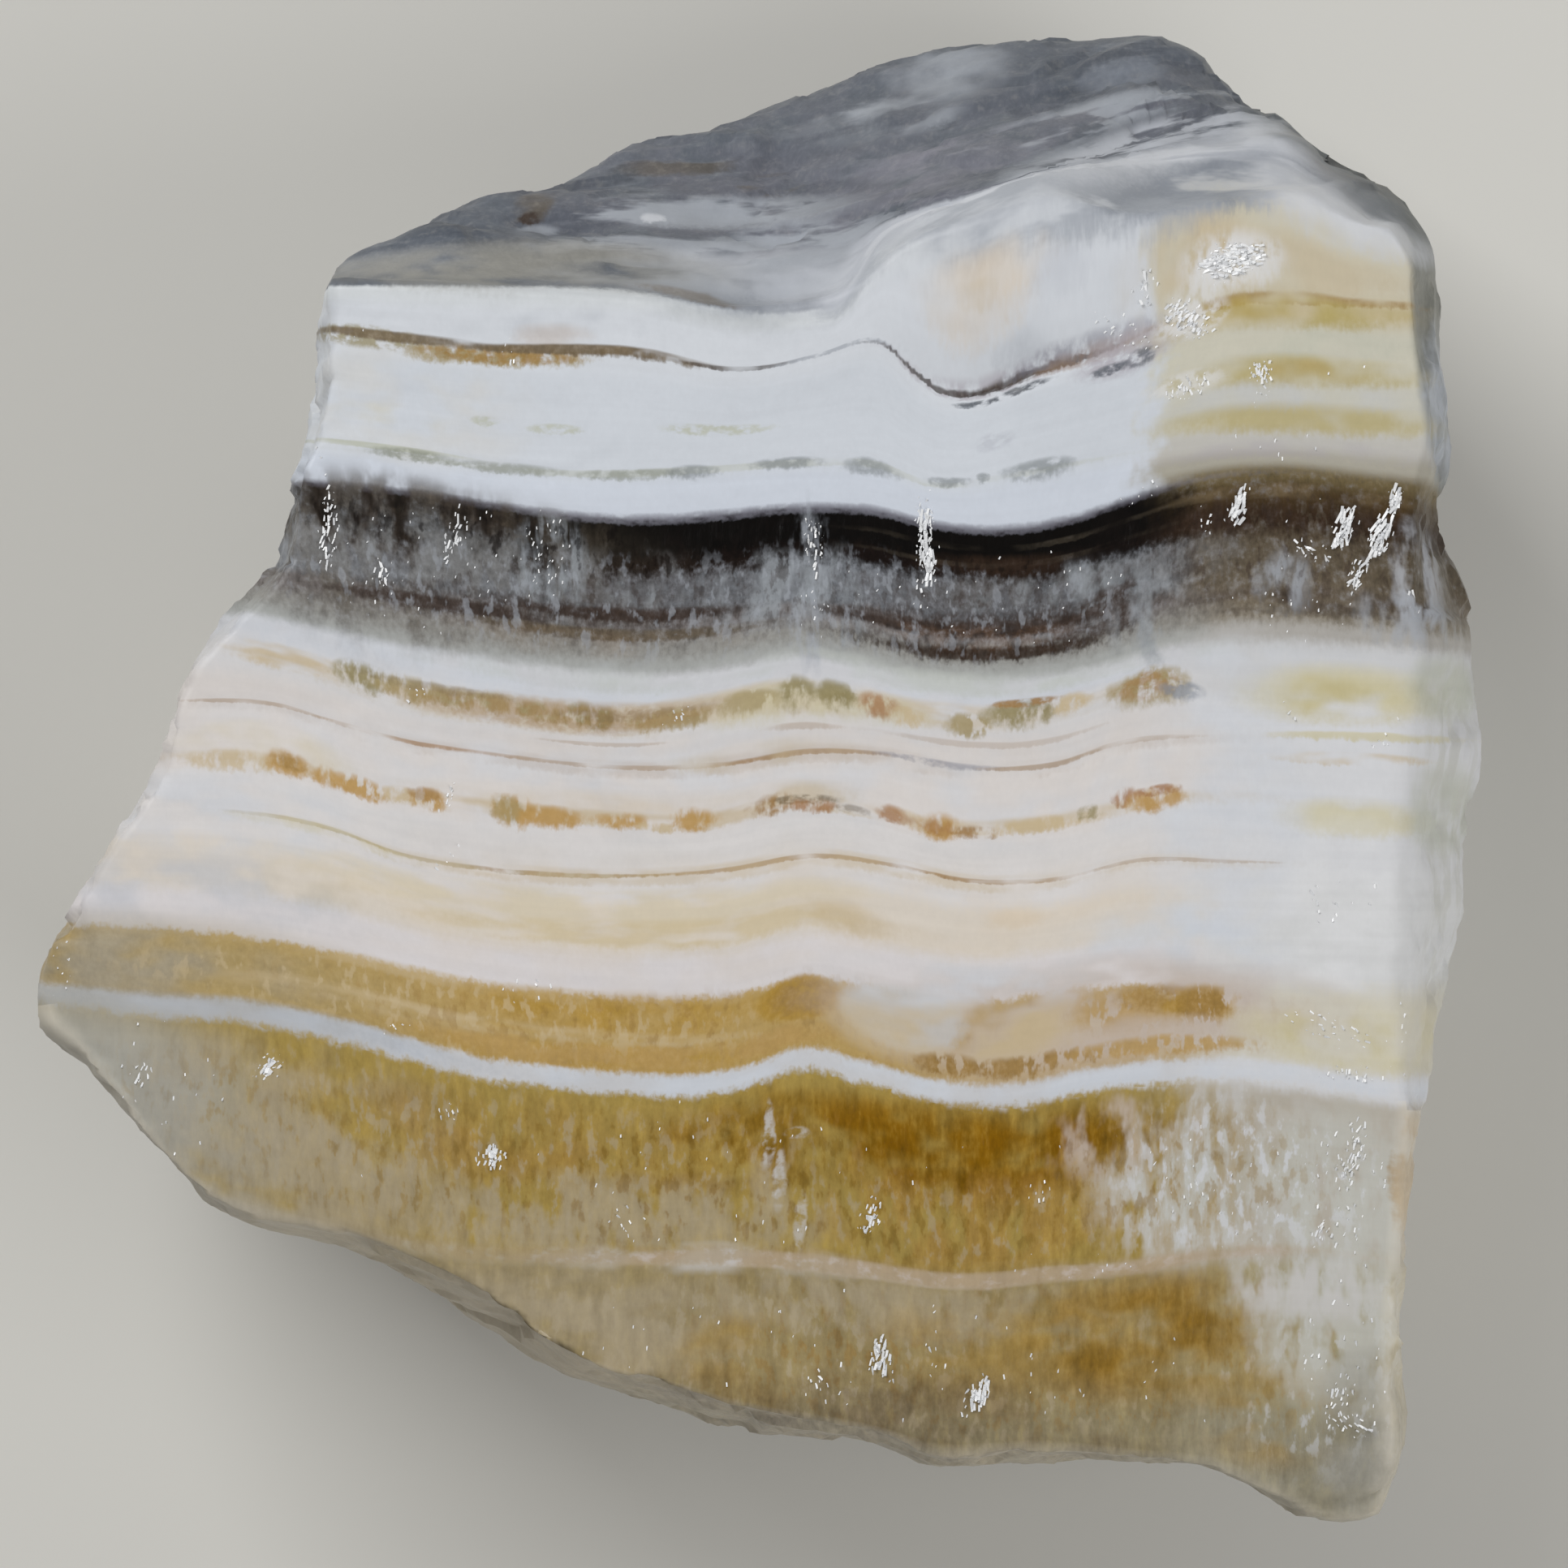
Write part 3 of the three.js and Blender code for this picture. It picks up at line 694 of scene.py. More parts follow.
# %% Marks in the dark band
DARK_MARKS = {
    "lilac fringe": ("dust", "mauve", 0.45, -36, 31, 14.6, 15.3),
    "brown black, left": ("sheaf", "dark brown", 0.85, -33, -16, 14.3, 20),
    "grey veils, left": ("veil", "smoke", 0.75, -34, -20, 14.2, 25.6),
    "brown veils, left": ("veil", "brown smoke", 0.60, -35, -10, 14.6, 24.6),
    "blue veils, left": ("veil", "blue smoke", 0.75, -31, -16, 16.4, 21.6),
    "blue veil, far left": ("fibres", "dove", 0.65, -34, -31, 15, 21.5),
    "brown wash, left": ("wash", "brown smoke", 0.20, -38, -8, 14.6, 24),
    "dark blots, left": ("dust", "black", 0.60, -32, -12, 15.0, 18.5),
    "smoke, left": ("veil", "smoke", 0.75, -30, -1, 17.4, 22.6),
    "dark blots, middle": ("dust", "umber", 0.45, -16, 4, 18.2, 21.6),
    "blue veil, middle": ("fibres", "blue smoke", 0.80, -17, -12, 15.4, 22.4),
    "blue veil, hump": ("sheaf", "blue smoke", 0.80, -4, 4.5, 18.2, 23),
    "blue veil, hump tail": ("veil", "blue smoke", 0.65, -10.5, -2, 18.4, 21),
    "bright veil": ("fibres", "dove", 0.80, 1.4, 3.8, 14.7, 26),
    "veil by the fold": ("fibres", "blue smoke", 0.70, 3.2, 6.4, 18, 24.6),
    "smoke, right": ("sheaf", "smoke", 0.65, 9.5, 25.5, 18.4, 20.6),
    "dark blots, right": ("dust", "umber", 0.50, 5, 27, 18.4, 22),
    "pale smoke, fold": ("veil", "blue smoke", 0.70, 15.5, 25, 18.2, 22.7),
    "lamina, upper": ("streak", "brown smoke", 0.24, 5, 28, 16.0, 16.4),
    "lamina, lower": ("streak", "brown smoke", 0.24, 6.5, 28, 17.2, 17.6),
    "red brown": ("haze", "umber", 0.80, 10.5, 20, 16.8, 18.6),
    "brown film, left": ("film", "dark brown", 0.85, -29.5, -14.5, 21.6, 22.6),
    "torn film, left": ("broken row", "dark brown", 0.65, -28, -3, 20.6, 22.3),
    "brown film, middle": ("film", "dark brown", 0.92, -18, -1.5, 20.9, 21.8),
    "brown film, fold": ("film", "dark brown", 0.92, 3.5, 12, 21.4, 22.4),
    "torn film, fold": ("broken row", "dark brown", 0.75, 6, 27, 20.6, 22.4),
    "brown film, right": ("film", "dark brown", 0.95, 9.5, 22.5, 21.2, 22.3),
    "brown film, lowest": ("film", "umber", 0.90, 8, 22, 23.0, 23.9),
    "torn film, lowest": ("broken row", "umber", 0.75, 5, 24, 22.7, 24.1),
    "brown film, second": ("film", "brown smoke", 0.90, -20, 0, 22.3, 23.1),
    "brown film, climbing": ("crumbs", "dark brown", 0.90, 20.5, 26.5, 20.2, 22.6),
    "brown film, climbing, lower": ("crumbs", "dark brown", 0.85, 18.5, 25, 22.3, 23.4),
    "rose grey": ("haze", "rust", 0.12, -22, -1, 22.5, 24.3),
    "rose grey, right": ("crumbs", "red rust", 0.12, 8, 20, 21.6, 23.2),
    "diagonal veil": ("veil", "blue smoke", 0.75, 23.5, 28.5, 20.6, 26.6),
    "black corner": ("sheaf", "black", 0.92, 22, 28.5, 14.9, 18.4),
    "olive lamina, right": ("streak", "brown", 0.70, 27, 43.5, 15.7, 16.6),
    "umber, right": ("haze", "umber", 0.90, 27, 41.5, 16.5, 18.8),
    "grey heart, right": ("haze", "brown smoke", 0.85, 27.5, 36.5, 18.8, 22.8),
    "film, right": ("streak", "dark brown", 0.60, 28, 45.5, 22.2, 24),
    "blue fleck, right": ("veil", "dove", 0.70, 33, 36.5, 20.2, 23.8),
    "white veil, right": ("veil", "pearl", 0.70, 42, 45.8, 17.5, 24.6),
    "white veil, right, lower": ("veil", "dove", 0.60, 39.5, 47, 22, 25.6),
    "pale dabs in the smoke": ("pale dabs", "dove", 0.45, -36, 28, 17.8, 24.2),
    "dark dabs in the smoke": ("dark dabs", "umber", 0.45, -36, 29, 17.2, 23.4),
    "dark dabs in the black": ("dark dabs", "black", 0.70, -34, 24, 15.2, 18.8),
    "pale dabs in the umber": ("pale dabs", "brown smoke", 0.45, 27, 46, 16.4, 24.4),
    "dark dabs in the umber": ("dark dabs", "dark brown", 0.50, 27, 44, 16, 23),
}

# %% [markdown]
# ## Marks in the lined whites
# Iron fell twice here, in short crumbly pieces that now stand as two broken rows,
# ochre and orange, with three hair-thin brown lines beside them.

# %% Marks in the lined whites
LINED_MARKS = {
    "light under the dark": ("haze", "cold white", 0.60, -37, 31, 24.9, 27.4),
    "lilac clouds": ("haze", "cold white", 0.45, -36, 32, 29.6, 38),
    "warm clouds": ("haze", "peach", 0.30, -40, 30, 36, 46),
    "sage under the dark": ("haze", "pale sage", 0.50, -19, 29, 24.8, 26.6),
    "ochre trail": ("streak", "sand", 0.60, -31, 22, 27.2, 29.4),
    "ochre trail, middle": ("haze", "straw", 0.60, -5, 10, 27.2, 29.8),
    "ochre thread, left": ("streak", "sand", 0.75, -36.5, -28.5, 27.2, 28.8),
    "ochre, first": ("row", "olive ochre", 0.90, -29.2, -25.4, 27.0, 28.7),
    "ochre, second": ("row", "ochre", 0.90, -26.5, -21.5, 27.1, 28.5),
    "ochre, third": ("row", "ochre", 0.90, -23, -16, 27.3, 28.5),
    "ochre, fourth": ("row", "ochre", 0.85, -17.3, -13, 27.4, 28.6),
    "ochre, fifth": ("row", "olive ochre", 0.95, -14, -10, 27.3, 28.8),
    "ochre, sixth": ("row", "ochre", 0.90, -9.6, -3.8, 27.8, 29.2),
    "ochre, warm parts": ("dust", "rust", 0.50, -24, -3, 27.2, 29.2),
    "ochre, seventh": ("broken row", "ochre", 0.75, -3.2, 0.5, 27.7, 29.2),
    "ochre, eighth": ("row", "olive ochre", 0.85, 0.4, 3.0, 26.9, 29.2),
    "ochre, ninth": ("row", "olive ochre", 0.92, 3.1, 5.7, 27.0, 29.0),
    "ochre, tenth": ("row", "red rust", 0.80, 6.0, 8.6, 27.5, 29.2),
    "ochre, eleventh": ("row", "sand", 0.80, 8.0, 10.2, 28.1, 29.5),
    "ochre, twelfth": ("broken row", "ochre", 0.85, 11.8, 15.2, 28.1, 29.7),
    "ochre, thirteenth": ("row", "olive ochre", 0.90, 14.6, 19.4, 27.1, 29.0),
    "ochre, fourteenth": ("row", "sand", 0.85, 18.9, 21.4, 27.1, 28.7),
    "brown edge, fold": ("crumbs", "rust", 0.90, 15, 19.3, 26.9, 27.6),
    "brown edge, left": ("crumbs", "brown", 0.35, -27.5, -17.5, 27.2, 27.8),
    "brown edge, middle": ("crumbs", "brown", 0.30, -14, -4.5, 27.6, 28.3),
    "ochre block": ("row", "ochre", 0.95, 22.8, 28, 26.9, 29.6),
    "ochre block, brown": ("crumbs", "rust", 0.70, 23.2, 27.4, 27.2, 29.3),
    "dark crumbs": ("crumbs", "slate", 0.75, 26.3, 29.2, 28.2, 29.4),
    "straw, right": ("cloud", "straw", 0.90, 32, 45, 27, 30.6),
    "straw heart, right": ("haze", "gold", 0.45, 34.5, 40, 27.6, 30.2),
    "sage corner": ("cloud", "pale sage", 0.80, 43, 48.7, 26, 30.2),
    "hairline, left": ("line", "thread", 0.45, -15, -7, 29.8, 30.1),
    "hairline, middle": ("line", "thread", 0.45, 0, 4.8, 29.9, 30.3),
    "hairline, right": ("line", "thread", 0.35, 7, 22, 29.9, 30.3),
    "second line, far left": ("line", "thread", 0.60, -39, -30, 31.35, 31.62),
    "second line, left": ("line", "thread", 0.75, -31, -20, 31.36, 31.66),
    "second line, rust": ("line", "red rust", 0.40, -26, -16.5, 31.38, 31.68),
    "second line, middle": ("line", "thread", 0.65, -20, 2, 31.38, 31.68),
    "second line, hump": ("line", "rust", 0.70, -3, 8, 31.36, 31.7),
    "second line, halo": ("streak", "thread", 0.25, -34, 30, 31.1, 32.2),
    "second line, fold": ("dust", "mauve", 0.60, 7, 15.5, 31.3, 31.7),
    "second line, right": ("spot", "thread", 0.75, 14.5, 22, 31.40, 31.72),
    "second line, end": ("line", "thread", 0.45, 20, 29, 31.38, 31.66),
    "line cream": ("haze", "sand", 0.55, -5.5, 7, 30.7, 32.2),
    "faint lines, right": ("streak", "straw", 0.70, 33, 47.5, 31.3, 31.8),
    "faint lines, right, lower": ("streak", "sand", 0.75, 34, 44, 32.4, 33),
    "cream over the orange": ("haze", "cream", 0.75, -39.5, -28, 32.8, 35.5),
    "peach over the orange": ("haze", "peach", 0.65, -23, 2, 33.2, 35.2),
    "peach over the hump": ("haze", "sand", 0.55, -2.5, 5.5, 33.4, 35.2),
    "orange trail": ("streak", "sand", 0.65, -38, 31, 34.4, 35.5),
    "straw ochre, left": ("row", "sand", 0.80, -39, -32.8, 34.5, 35.9),
    "orange, first": ("row", "orange", 0.90, -33.6, -30.8, 34.2, 35.7),
    "orange, first, core": ("dust", "brown amber", 0.60, -33.2, -31, 34.3, 35.2),
    "orange, second": ("row", "orange", 0.90, -30.6, -28.4, 34.4, 35.7),
    "orange, third": ("broken row", "orange", 0.92, -28.8, -25.8, 34.3, 35.7),
    "orange, fourth": ("row", "sand", 0.85, -26.2, -23, 34.4, 35.3),
    "orange, fifth": ("broken row", "orange", 0.90, -23.8, -21.6, 34.2, 35.6),
    "orange, fifth, edge": ("dust", "rust", 0.60, -24, -22, 34.2, 35),
    "orange, sixth": ("broken row", "orange", 0.90, -18.3, -15.8, 34, 36),
    "orange, sixth, edge": ("dust", "ochre", 0.70, -18.4, -16.6, 34.1, 35.8),
    "orange, seventh": ("row", "orange", 0.92, -16.8, -12.6, 34.4, 35.8),
    "orange, eighth": ("row", "orange", 0.90, -11.6, -7.8, 34.5, 35.5),
    "orange, ninth": ("row", "sand", 0.85, -8.6, -6, 34.9, 35.6),
    "orange, tenth": ("row", "orange", 0.92, -6.7, -3.7, 34.1, 35.5),
    "rust on the hump": ("row", "rust", 0.92, -1.2, 1.8, 34.1, 35.6),
    "rust on the hump, edge": ("crumbs", "brown", 0.75, 0, 4.6, 34.3, 34.9),
    "rust on the hump, right": ("row", "red rust", 0.85, 1.6, 4.4, 34.6, 35.5),
    "slate crumbs": ("crumbs", "brown", 0.55, 4.3, 6.6, 34.8, 35.4),
    "rust under the fold": ("dust", "red rust", 0.80, 7.2, 9.6, 34.4, 35.5),
    "orange arc": ("row", "orange", 0.95, 9.7, 13, 34.2, 35.9),
    "orange arc, heart": ("dust", "red rust", 0.60, 9.9, 12.4, 34.4, 35.5),
    "orange arc, thin": ("row", "rust", 0.90, 12.3, 15, 34.8, 35.6),
    "orange arc, pale": ("row", "sand", 0.90, 14.5, 21.2, 34.6, 35.5),
    "olive dot": ("dust", "olive ochre", 0.75, 20.7, 22.2, 34.4, 35.2),
    "rust, last": ("row", "red rust", 0.85, 23.1, 24.8, 34, 34.9),
    "orange, last": ("row", "orange", 0.95, 24.3, 27.7, 34.2, 35.6),
    "orange, last, edge": ("crumbs", "red rust", 0.85, 24.6, 27.5, 34.1, 34.7),
    "straw, right, lower": ("cloud", "straw", 0.80, 34.5, 44, 34.8, 37),
    "sage side": ("cloud", "pale sage", 0.75, 43, 49.3, 33, 38),
    "third line, left": ("line", "ochre", 0.60, -37, -25, 38.62, 38.9),
    "third line": ("line", "ochre", 0.65, -29, -6, 38.65, 38.95),
    "third line, rust": ("crumbs", "rust", 0.55, -20, -8, 38.62, 38.95),
    "third line, hump": ("line", "rust", 0.75, -8, 12, 38.62, 38.96),
    "third line, halo": ("streak", "sand", 0.45, -30, 30, 38.3, 39.5),
    "third line, fold": ("line", "rust", 0.65, 9, 22, 38.62, 38.95),
    "third line, right": ("line", "thread", 0.55, 19, 33.5, 38.68, 38.94),
}

# %% [markdown]
# ## Marks in the cream, the tan band and the white line
# Below them the stone turns cream and then tan. Past the fold the tan was
# dissolved and healed with milky calcite, so only crumbs of it are left there.

# %% Marks in the cream, the tan band and the white line
TAN_MARKS = {
    "cream streak, left": ("haze", "deep cream", 0.75, -34, -27, 41.4, 44),
    "cream bed": ("streak", "cream", 0.75, -32.5, 6, 39.8, 42.4),
    "cream bed, lower": ("streak", "deep cream", 0.75, -23, 8, 41.8, 43.6),
    "cream, hump": ("haze", "sand", 0.60, 1.5, 8.5, 41.8, 43.8),
    "blush spot": ("haze", "peach", 0.80, 14.5, 18.5, 40.6, 42),
    "white, left": ("haze", "chalk", 0.75, -50, -24, 36.2, 41.5),
    "white, left, lower": ("haze", "pearl", 0.60, -50, -27, 41.8, 46),
    "straw hairlines, left": ("streak", "straw", 0.40, -36, -24, 38.6, 39.4),
    "bright heart": ("haze", "chalk", 0.85, 26.5, 35.5, 26.2, 50),
    "bright lower right": ("haze", "snow", 0.70, 34, 44.5, 36.4, 49),
    "side shade": ("veil", "chalk edge", 0.55, 44.2, 49, 26.2, 50),
    "blue veil, lower right": ("haze", "cold white", 0.60, 18, 33, 42, 46.6),
    "olive, left": ("wash", "ochre", 0.55, -56, -24, 46.4, 53.4),
    "olive, left, pale": ("haze", "putty", 0.60, -52, -30, 47.6, 52),
    "tan, upper edge": ("streak", "sand", 0.50, -34, 0, 46.6, 47.6),
    "ash, far left": ("cloud", "ash", 0.45, -52, -38, 46, 52.6),
    "tan streaks, pale": ("streak", "sand", 0.45, -37, -19, 49.2, 50.8),
    "pale streak": ("streak", "sand", 0.65, -26, -3, 49.1, 50.1),
    "amber heart": ("haze", "amber", 0.85, -20, 0.5, 46.6, 49.2),
    "amber heart, lower": ("row", "amber", 0.60, -24, 2, 50.2, 51.7),
    "tan dabs": ("pale dabs", "sand", 0.55, -42, 0, 47, 51.8),
    "amber dabs": ("dark dabs", "brown amber", 0.45, -30, 34, 46.8, 51.8),
    "tan, lower": ("streak", "tan", 0.80, -23, 2.5, 50, 51.8),
    "amber block": ("block", "amber", 0.90, -0.8, 4.9, 46.7, 49.8),
    "amber block, dark": ("dust", "brown amber", 0.75, 0, 4.8, 46.9, 49.4),
    "gap": ("cloud", "rose milk", 0.95, 4.7, 36, 45.2, 51.6),
    "gap, over the block": ("block", "milk", 0.85, 4.9, 13, 46.4, 50.4),
    "gap, whiter": ("haze", "chalk", 0.80, 4.5, 22, 44.4, 47.8),
    "soft tan": ("haze", "sand", 0.90, 8.5, 22, 47.2, 50.6),
    "soft tan, left": ("haze", "sand", 0.70, 4.5, 11, 47.8, 51),
    "amber crumbs, right": ("broken row", "tan", 0.80, 20.6, 27.5, 47, 50.2),
    "amber crumbs, right, heart": ("dust", "brown amber", 0.70, 23.5, 28.5, 47, 48.6),
    "amber crumbs, last": ("broken row", "amber", 0.85, 26.4, 31.4, 47.1, 49.7),
    "amber crumbs, last, heart": ("broken row", "brown amber", 0.85, 27.2, 30.8, 47.2, 49.4),
    "rose between": ("row", "rose milk", 0.70, 19.5, 32, 49, 51.4),
    "amber edge, left": ("row", "tan", 0.85, -2, 4.4, 49.9, 51.5),
    "amber edge": ("broken row", "brown amber", 0.92, 9.5, 14, 50.2, 51.6),
    "amber edge, middle": ("broken row", "brown amber", 0.90, 13, 22, 50.4, 51.6),
    "amber edge, right": ("broken row", "tan", 0.90, 20, 32.5, 50.3, 51.5),
    "straw beside the gap": ("haze", "straw", 0.85, 32, 45.5, 47.8, 51.6),
    "straw glow, right": ("haze", "gold", 0.40, 35, 41, 48.6, 50.8),
    "white line, blue": ("haze", "cold white", 0.70, -54, 48, 51.9, 53.2),
    "white line, left": ("wash", "dove", 0.55, -52, -20, 51.7, 53.4),
}

# %% [markdown]
# ## Marks in the amber
# The lowest beds are clear, iron-stained and built of upright crystals, so light sinks
# in and comes back honey-coloured. Toward the sides they turn to putty and to milk.

# %% Marks in the amber
AMBER_MARKS = {
    "ash, below the line": ("wash", "ash", 0.85, -64, -34, 53.2, 63),
    # Painted light: a pale wash on the left rim, for light glowing through the thin edge.
    "painted rim glow, left": ("wash", "chalk edge", 0.60, -62, -38, 53, 64),
    "olive amber, left": ("haze", "putty", 0.70, -42, -21, 54.2, 60.4),
    "putty, left": ("cloud", "putty", 0.85, -40, -22, 58, 65),
    "honey": ("sheaf", "honey", 0.55, -29, -1, 54.2, 59.6),
    "honey, blotches": ("haze", "brown amber", 0.55, -27, 0, 54.2, 60.5),
    "putty, middle": ("sheaf", "putty", 0.80, -25, 2.5, 59.2, 64.6),
    "deep amber, left": ("haze", "deep amber", 0.80, -6.5, 4.5, 54, 60),
    "deep amber": ("cloud", "deep amber", 1.0, 0.5, 26, 53.8, 59.6),
    "deepest amber": ("haze", "deepest amber", 1.0, 3, 22, 54.2, 59.2),
    "honey, lower": ("sheaf", "brown amber", 0.70, 4, 23, 58, 64.2),
    "honey haze": ("veil", "putty", 0.50, -1.5, 4, 56.3, 64.6),
    "milk": ("sheaf", "milk", 0.95, 22.5, 36, 54.8, 65),
    "milk, white": ("sheaf", "chalk edge", 0.85, 24, 36, 54.8, 64),
    "milk, upper": ("veil", "milk", 0.75, 26, 37, 53.6, 58),
    "rose milk": ("veil", "rose milk", 0.80, 19, 27.5, 54, 58.6),
    "dark dashes in the milk": ("fibres", "honey", 0.50, 22, 34, 54.6, 64.5),
    "tan in the milk": ("veil", "putty", 0.60, 30.5, 37, 54.4, 63),
    "grey white edge": ("sheaf", "chalk edge", 0.85, 34.5, 43.5, 54.6, 67),
    "chalk edge": ("fibres", "chalk edge", 0.80, 32.5, 40.5, 55.5, 65.5),
    "brown strip": ("sheaf", "brown amber", 0.70, 42, 44.8, 54.6, 63.4),
    "white vein, upper": ("crumbs", "milk", 0.80, -0.5, 0.3, 54.8, 58.8),
    "white vein, branch": ("crumbs", "milk", 0.65, 0.9, 2.6, 56.6, 57.3),
    "white vein": ("crumbs", "milk", 0.80, 0.3, 1.1, 57.8, 61.4),
    "white vein, lower": ("crumbs", "milk", 0.60, 1.6, 2.4, 60.5, 64),
    "pale dabs in the amber": ("pale dabs", "putty", 0.60, -48, 2, 54, 64),
    "pale dabs in the amber, right": ("pale dabs", "putty", 0.50, 0, 26, 58.6, 64),
    "dark dabs in the amber": ("dark dabs", "deep amber", 0.40, -26, 30, 54, 63.8),
    "olive dabs": ("dark dabs", "honey", 0.45, -44, -16, 54.4, 64),
    "brown dabs in the milk": ("dark dabs", "honey", 0.35, 22, 37, 54.6, 64.4),
    "white dabs in the milk": ("pale dabs", "chalk", 0.65, 23, 40, 54.4, 64.6),
    "pale dabs, lower": ("pale dabs", "putty", 0.70, -30, 34, 65, 77),
    "dark dabs, lower": ("dark dabs", "brown amber", 0.55, -8, 36, 65, 76),
    "white dabs, lower right": ("pale dabs", "chalk", 0.50, 31, 44, 65, 78),
    "brown dabs, lower right": ("dark dabs", "honey", 0.40, 30, 40, 65, 76),
    "pale line, whiter": ("streak", "rose milk", 0.50, -10, 38, 64.1, 65.0),
    "pale line, lilac": ("film", "rose milk", 0.85, -14, 30, 64.1, 65.2),
    "pale line, milk": ("haze", "milk", 0.75, -14, 6, 63.7, 65.6),
    "pale line, gaps": ("dust", "honey", 0.50, -26, 32, 63.8, 65.2),
    "brown flank, left": ("haze", "honey", 0.45, -20, -8, 68, 78),
    "ash flank": ("cloud", "ash", 0.85, -68, -34, 54.5, 77),
    "ash flank, lower": ("cloud", "putty", 0.80, -46, -16, 65, 80),
    "putty, lower left": ("cloud", "putty", 0.85, -26, -3, 65.4, 74),
    "honey, lower left": ("haze", "honey", 0.85, -6, 2, 68.6, 75.6),
    "putty, lower middle": ("sheaf", "putty", 0.75, -5, 21, 65.2, 69.4),
    "honey, lower middle": ("haze", "honey", 0.75, 8, 27, 65.6, 74.6),
    "deep amber, lower": ("cloud", "honey", 0.85, 15, 34, 65.4, 73.8),
    "deep amber, lower heart": ("haze", "deep amber", 0.80, 18, 32, 65.8, 73),
    "foot honey": ("haze", "honey", 0.75, 29, 38.5, 71.6, 78),
    "milk, lower right": ("sheaf", "chalk edge", 0.85, 33, 43.5, 64.8, 74),
    "milk, lower right, upper": ("veil", "milk", 0.85, 31, 41, 64.8, 69),
    "grey white, foot": ("cloud", "ash", 0.75, 37, 42.5, 70.5, 82),
    "amber under edge": ("haze", "brown", 0.70, -11.5, 28, 72, 79.2),
}
MARKS = {**CRUST_MARKS, **UPPER_MARKS, **DARK_MARKS, **LINED_MARKS, **TAN_MARKS,
         **AMBER_MARKS}

# %% [markdown]
# ## Two small trees that every bed and every mark uses
# A bed covers what lies above it. A mark is a lens of colour with a torn edge. Both
# are node groups, so that the trees below stay short enough to follow.

# %% One tree for a bed's edge and one for a mark
VECTORS = ("Where", "Torn", "Ragged", "Scale", "Shift")


def new_group(name, inputs):
    """An empty node group with named inputs, and a colour for its output."""
    group = bpy.data.node_groups.new(name, "ShaderNodeTree")
    for socket in inputs:
        kind = ("NodeSocketColor" if "Colour" in socket
                else "NodeSocketVector" if socket in VECTORS else "NodeSocketFloat")
        group.interface.new_socket(socket, in_out="INPUT", socket_type=kind)
    group.interface.new_socket("Colour", in_out="OUTPUT", socket_type="NodeSocketColor")
    return (group, group.nodes.new("NodeGroupInput").outputs,
            group.nodes.new("NodeGroupOutput").inputs[0])


def eased(tree, value, start, end):
    """0 to 1 between two values, eased."""
    return add(tree, "ShaderNodeMapRange", {"interpolation_type": "SMOOTHSTEP"},
               i0=value, i1=start, i2=end).outputs[0]


def maths(tree, operation, *values):
    """One step of arithmetic on plain values or sockets."""
    return add(tree, "ShaderNodeMath", {"operation": operation},
               **{f"i{i}": value for i, value in enumerate(values)}).outputs[0]


def vectors(tree, operation, *values):
    """One step of arithmetic on vectors."""
    return add(tree, "ShaderNodeVectorMath", {"operation": operation},
               **{f"i{i}": value for i, value in enumerate(values)}).outputs[0]


def mixed(tree, share, first, second):
    """A colour between two colours."""
    return add(tree, "ShaderNodeMix", {"data_type": "RGBA"}, i0=share, i6=first,
               i7=second).outputs[2]


def bed_group():
    """Covers what lies above with a bed's own colour, from its upper edge down."""
    group, given, made = new_group("bed", (
        "Colour above", "Colour", "Place", "Noise", "From", "To", "Raggedness"))
    torn = maths(group, "MULTIPLY_ADD", given["Noise"], given["Raggedness"],
                 given["Place"])
    cover = eased(group, torn, given["From"], given["To"])
    group.links.new(mixed(group, cover, given["Colour above"], given["Colour"]), made)
    return group


def mark_group():
    """Lays a lens-shaped mark over a bed. Where is how far across a point is, its
    place in the pile, and a pattern that breaks the mark up."""
    group, given, made = new_group("mark", (
        "Colour under", "Colour", "Strength", *VECTORS, "Edge noise", "Thinned",
        "Outside", "Inside", "Starts", "Full"))
    moved = vectors(group, "MULTIPLY_ADD", given["Torn"], given["Ragged"],
                    given["Where"])
    moved = vectors(group, "MULTIPLY_ADD", moved, given["Scale"], given["Shift"])
    x, y, kind = add(group, "ShaderNodeSeparateXYZ", i0=moved).outputs
    away = maths(group, "MULTIPLY_ADD", y, y, maths(group, "MULTIPLY", x, x))
    away = maths(group, "MULTIPLY_ADD", given["Edge noise"], given["Thinned"], away)
    share = maths(group, "MULTIPLY",
                  eased(group, away, given["Outside"], given["Inside"]),
                  eased(group, kind, given["Starts"], given["Full"]))
    share = maths(group, "MULTIPLY", share, given["Strength"])
    group.links.new(mixed(group, share, given["Colour under"], given["Colour"]), made)
    return group


def put(tree, group, values):
    """Adds a node that uses a group, with its inputs set or linked by name."""
    node = add(tree, "ShaderNodeGroup", {"node_tree": group})
    for name, value in values.items():
        if isinstance(value, bpy.types.NodeSocket):
            tree.links.new(value, node.inputs[name])
        else:
            node.inputs[name].default_value = value
    return node.outputs[0]


BED, MARK = bed_group(), mark_group()

# %% [markdown]
# ## One material for each group of beds
# A rough piece of zebra calcite was never cut or polished, only split with a hammer.
# The clear beds break along cleavage into tiny bright planes and look
# deep; the white ones are full of trapped water and look like chalk with a satin
# skin. One tree for the whole pile would be too long for the renderer, so the
# pile is cut into thirteen groups of beds that share their code.

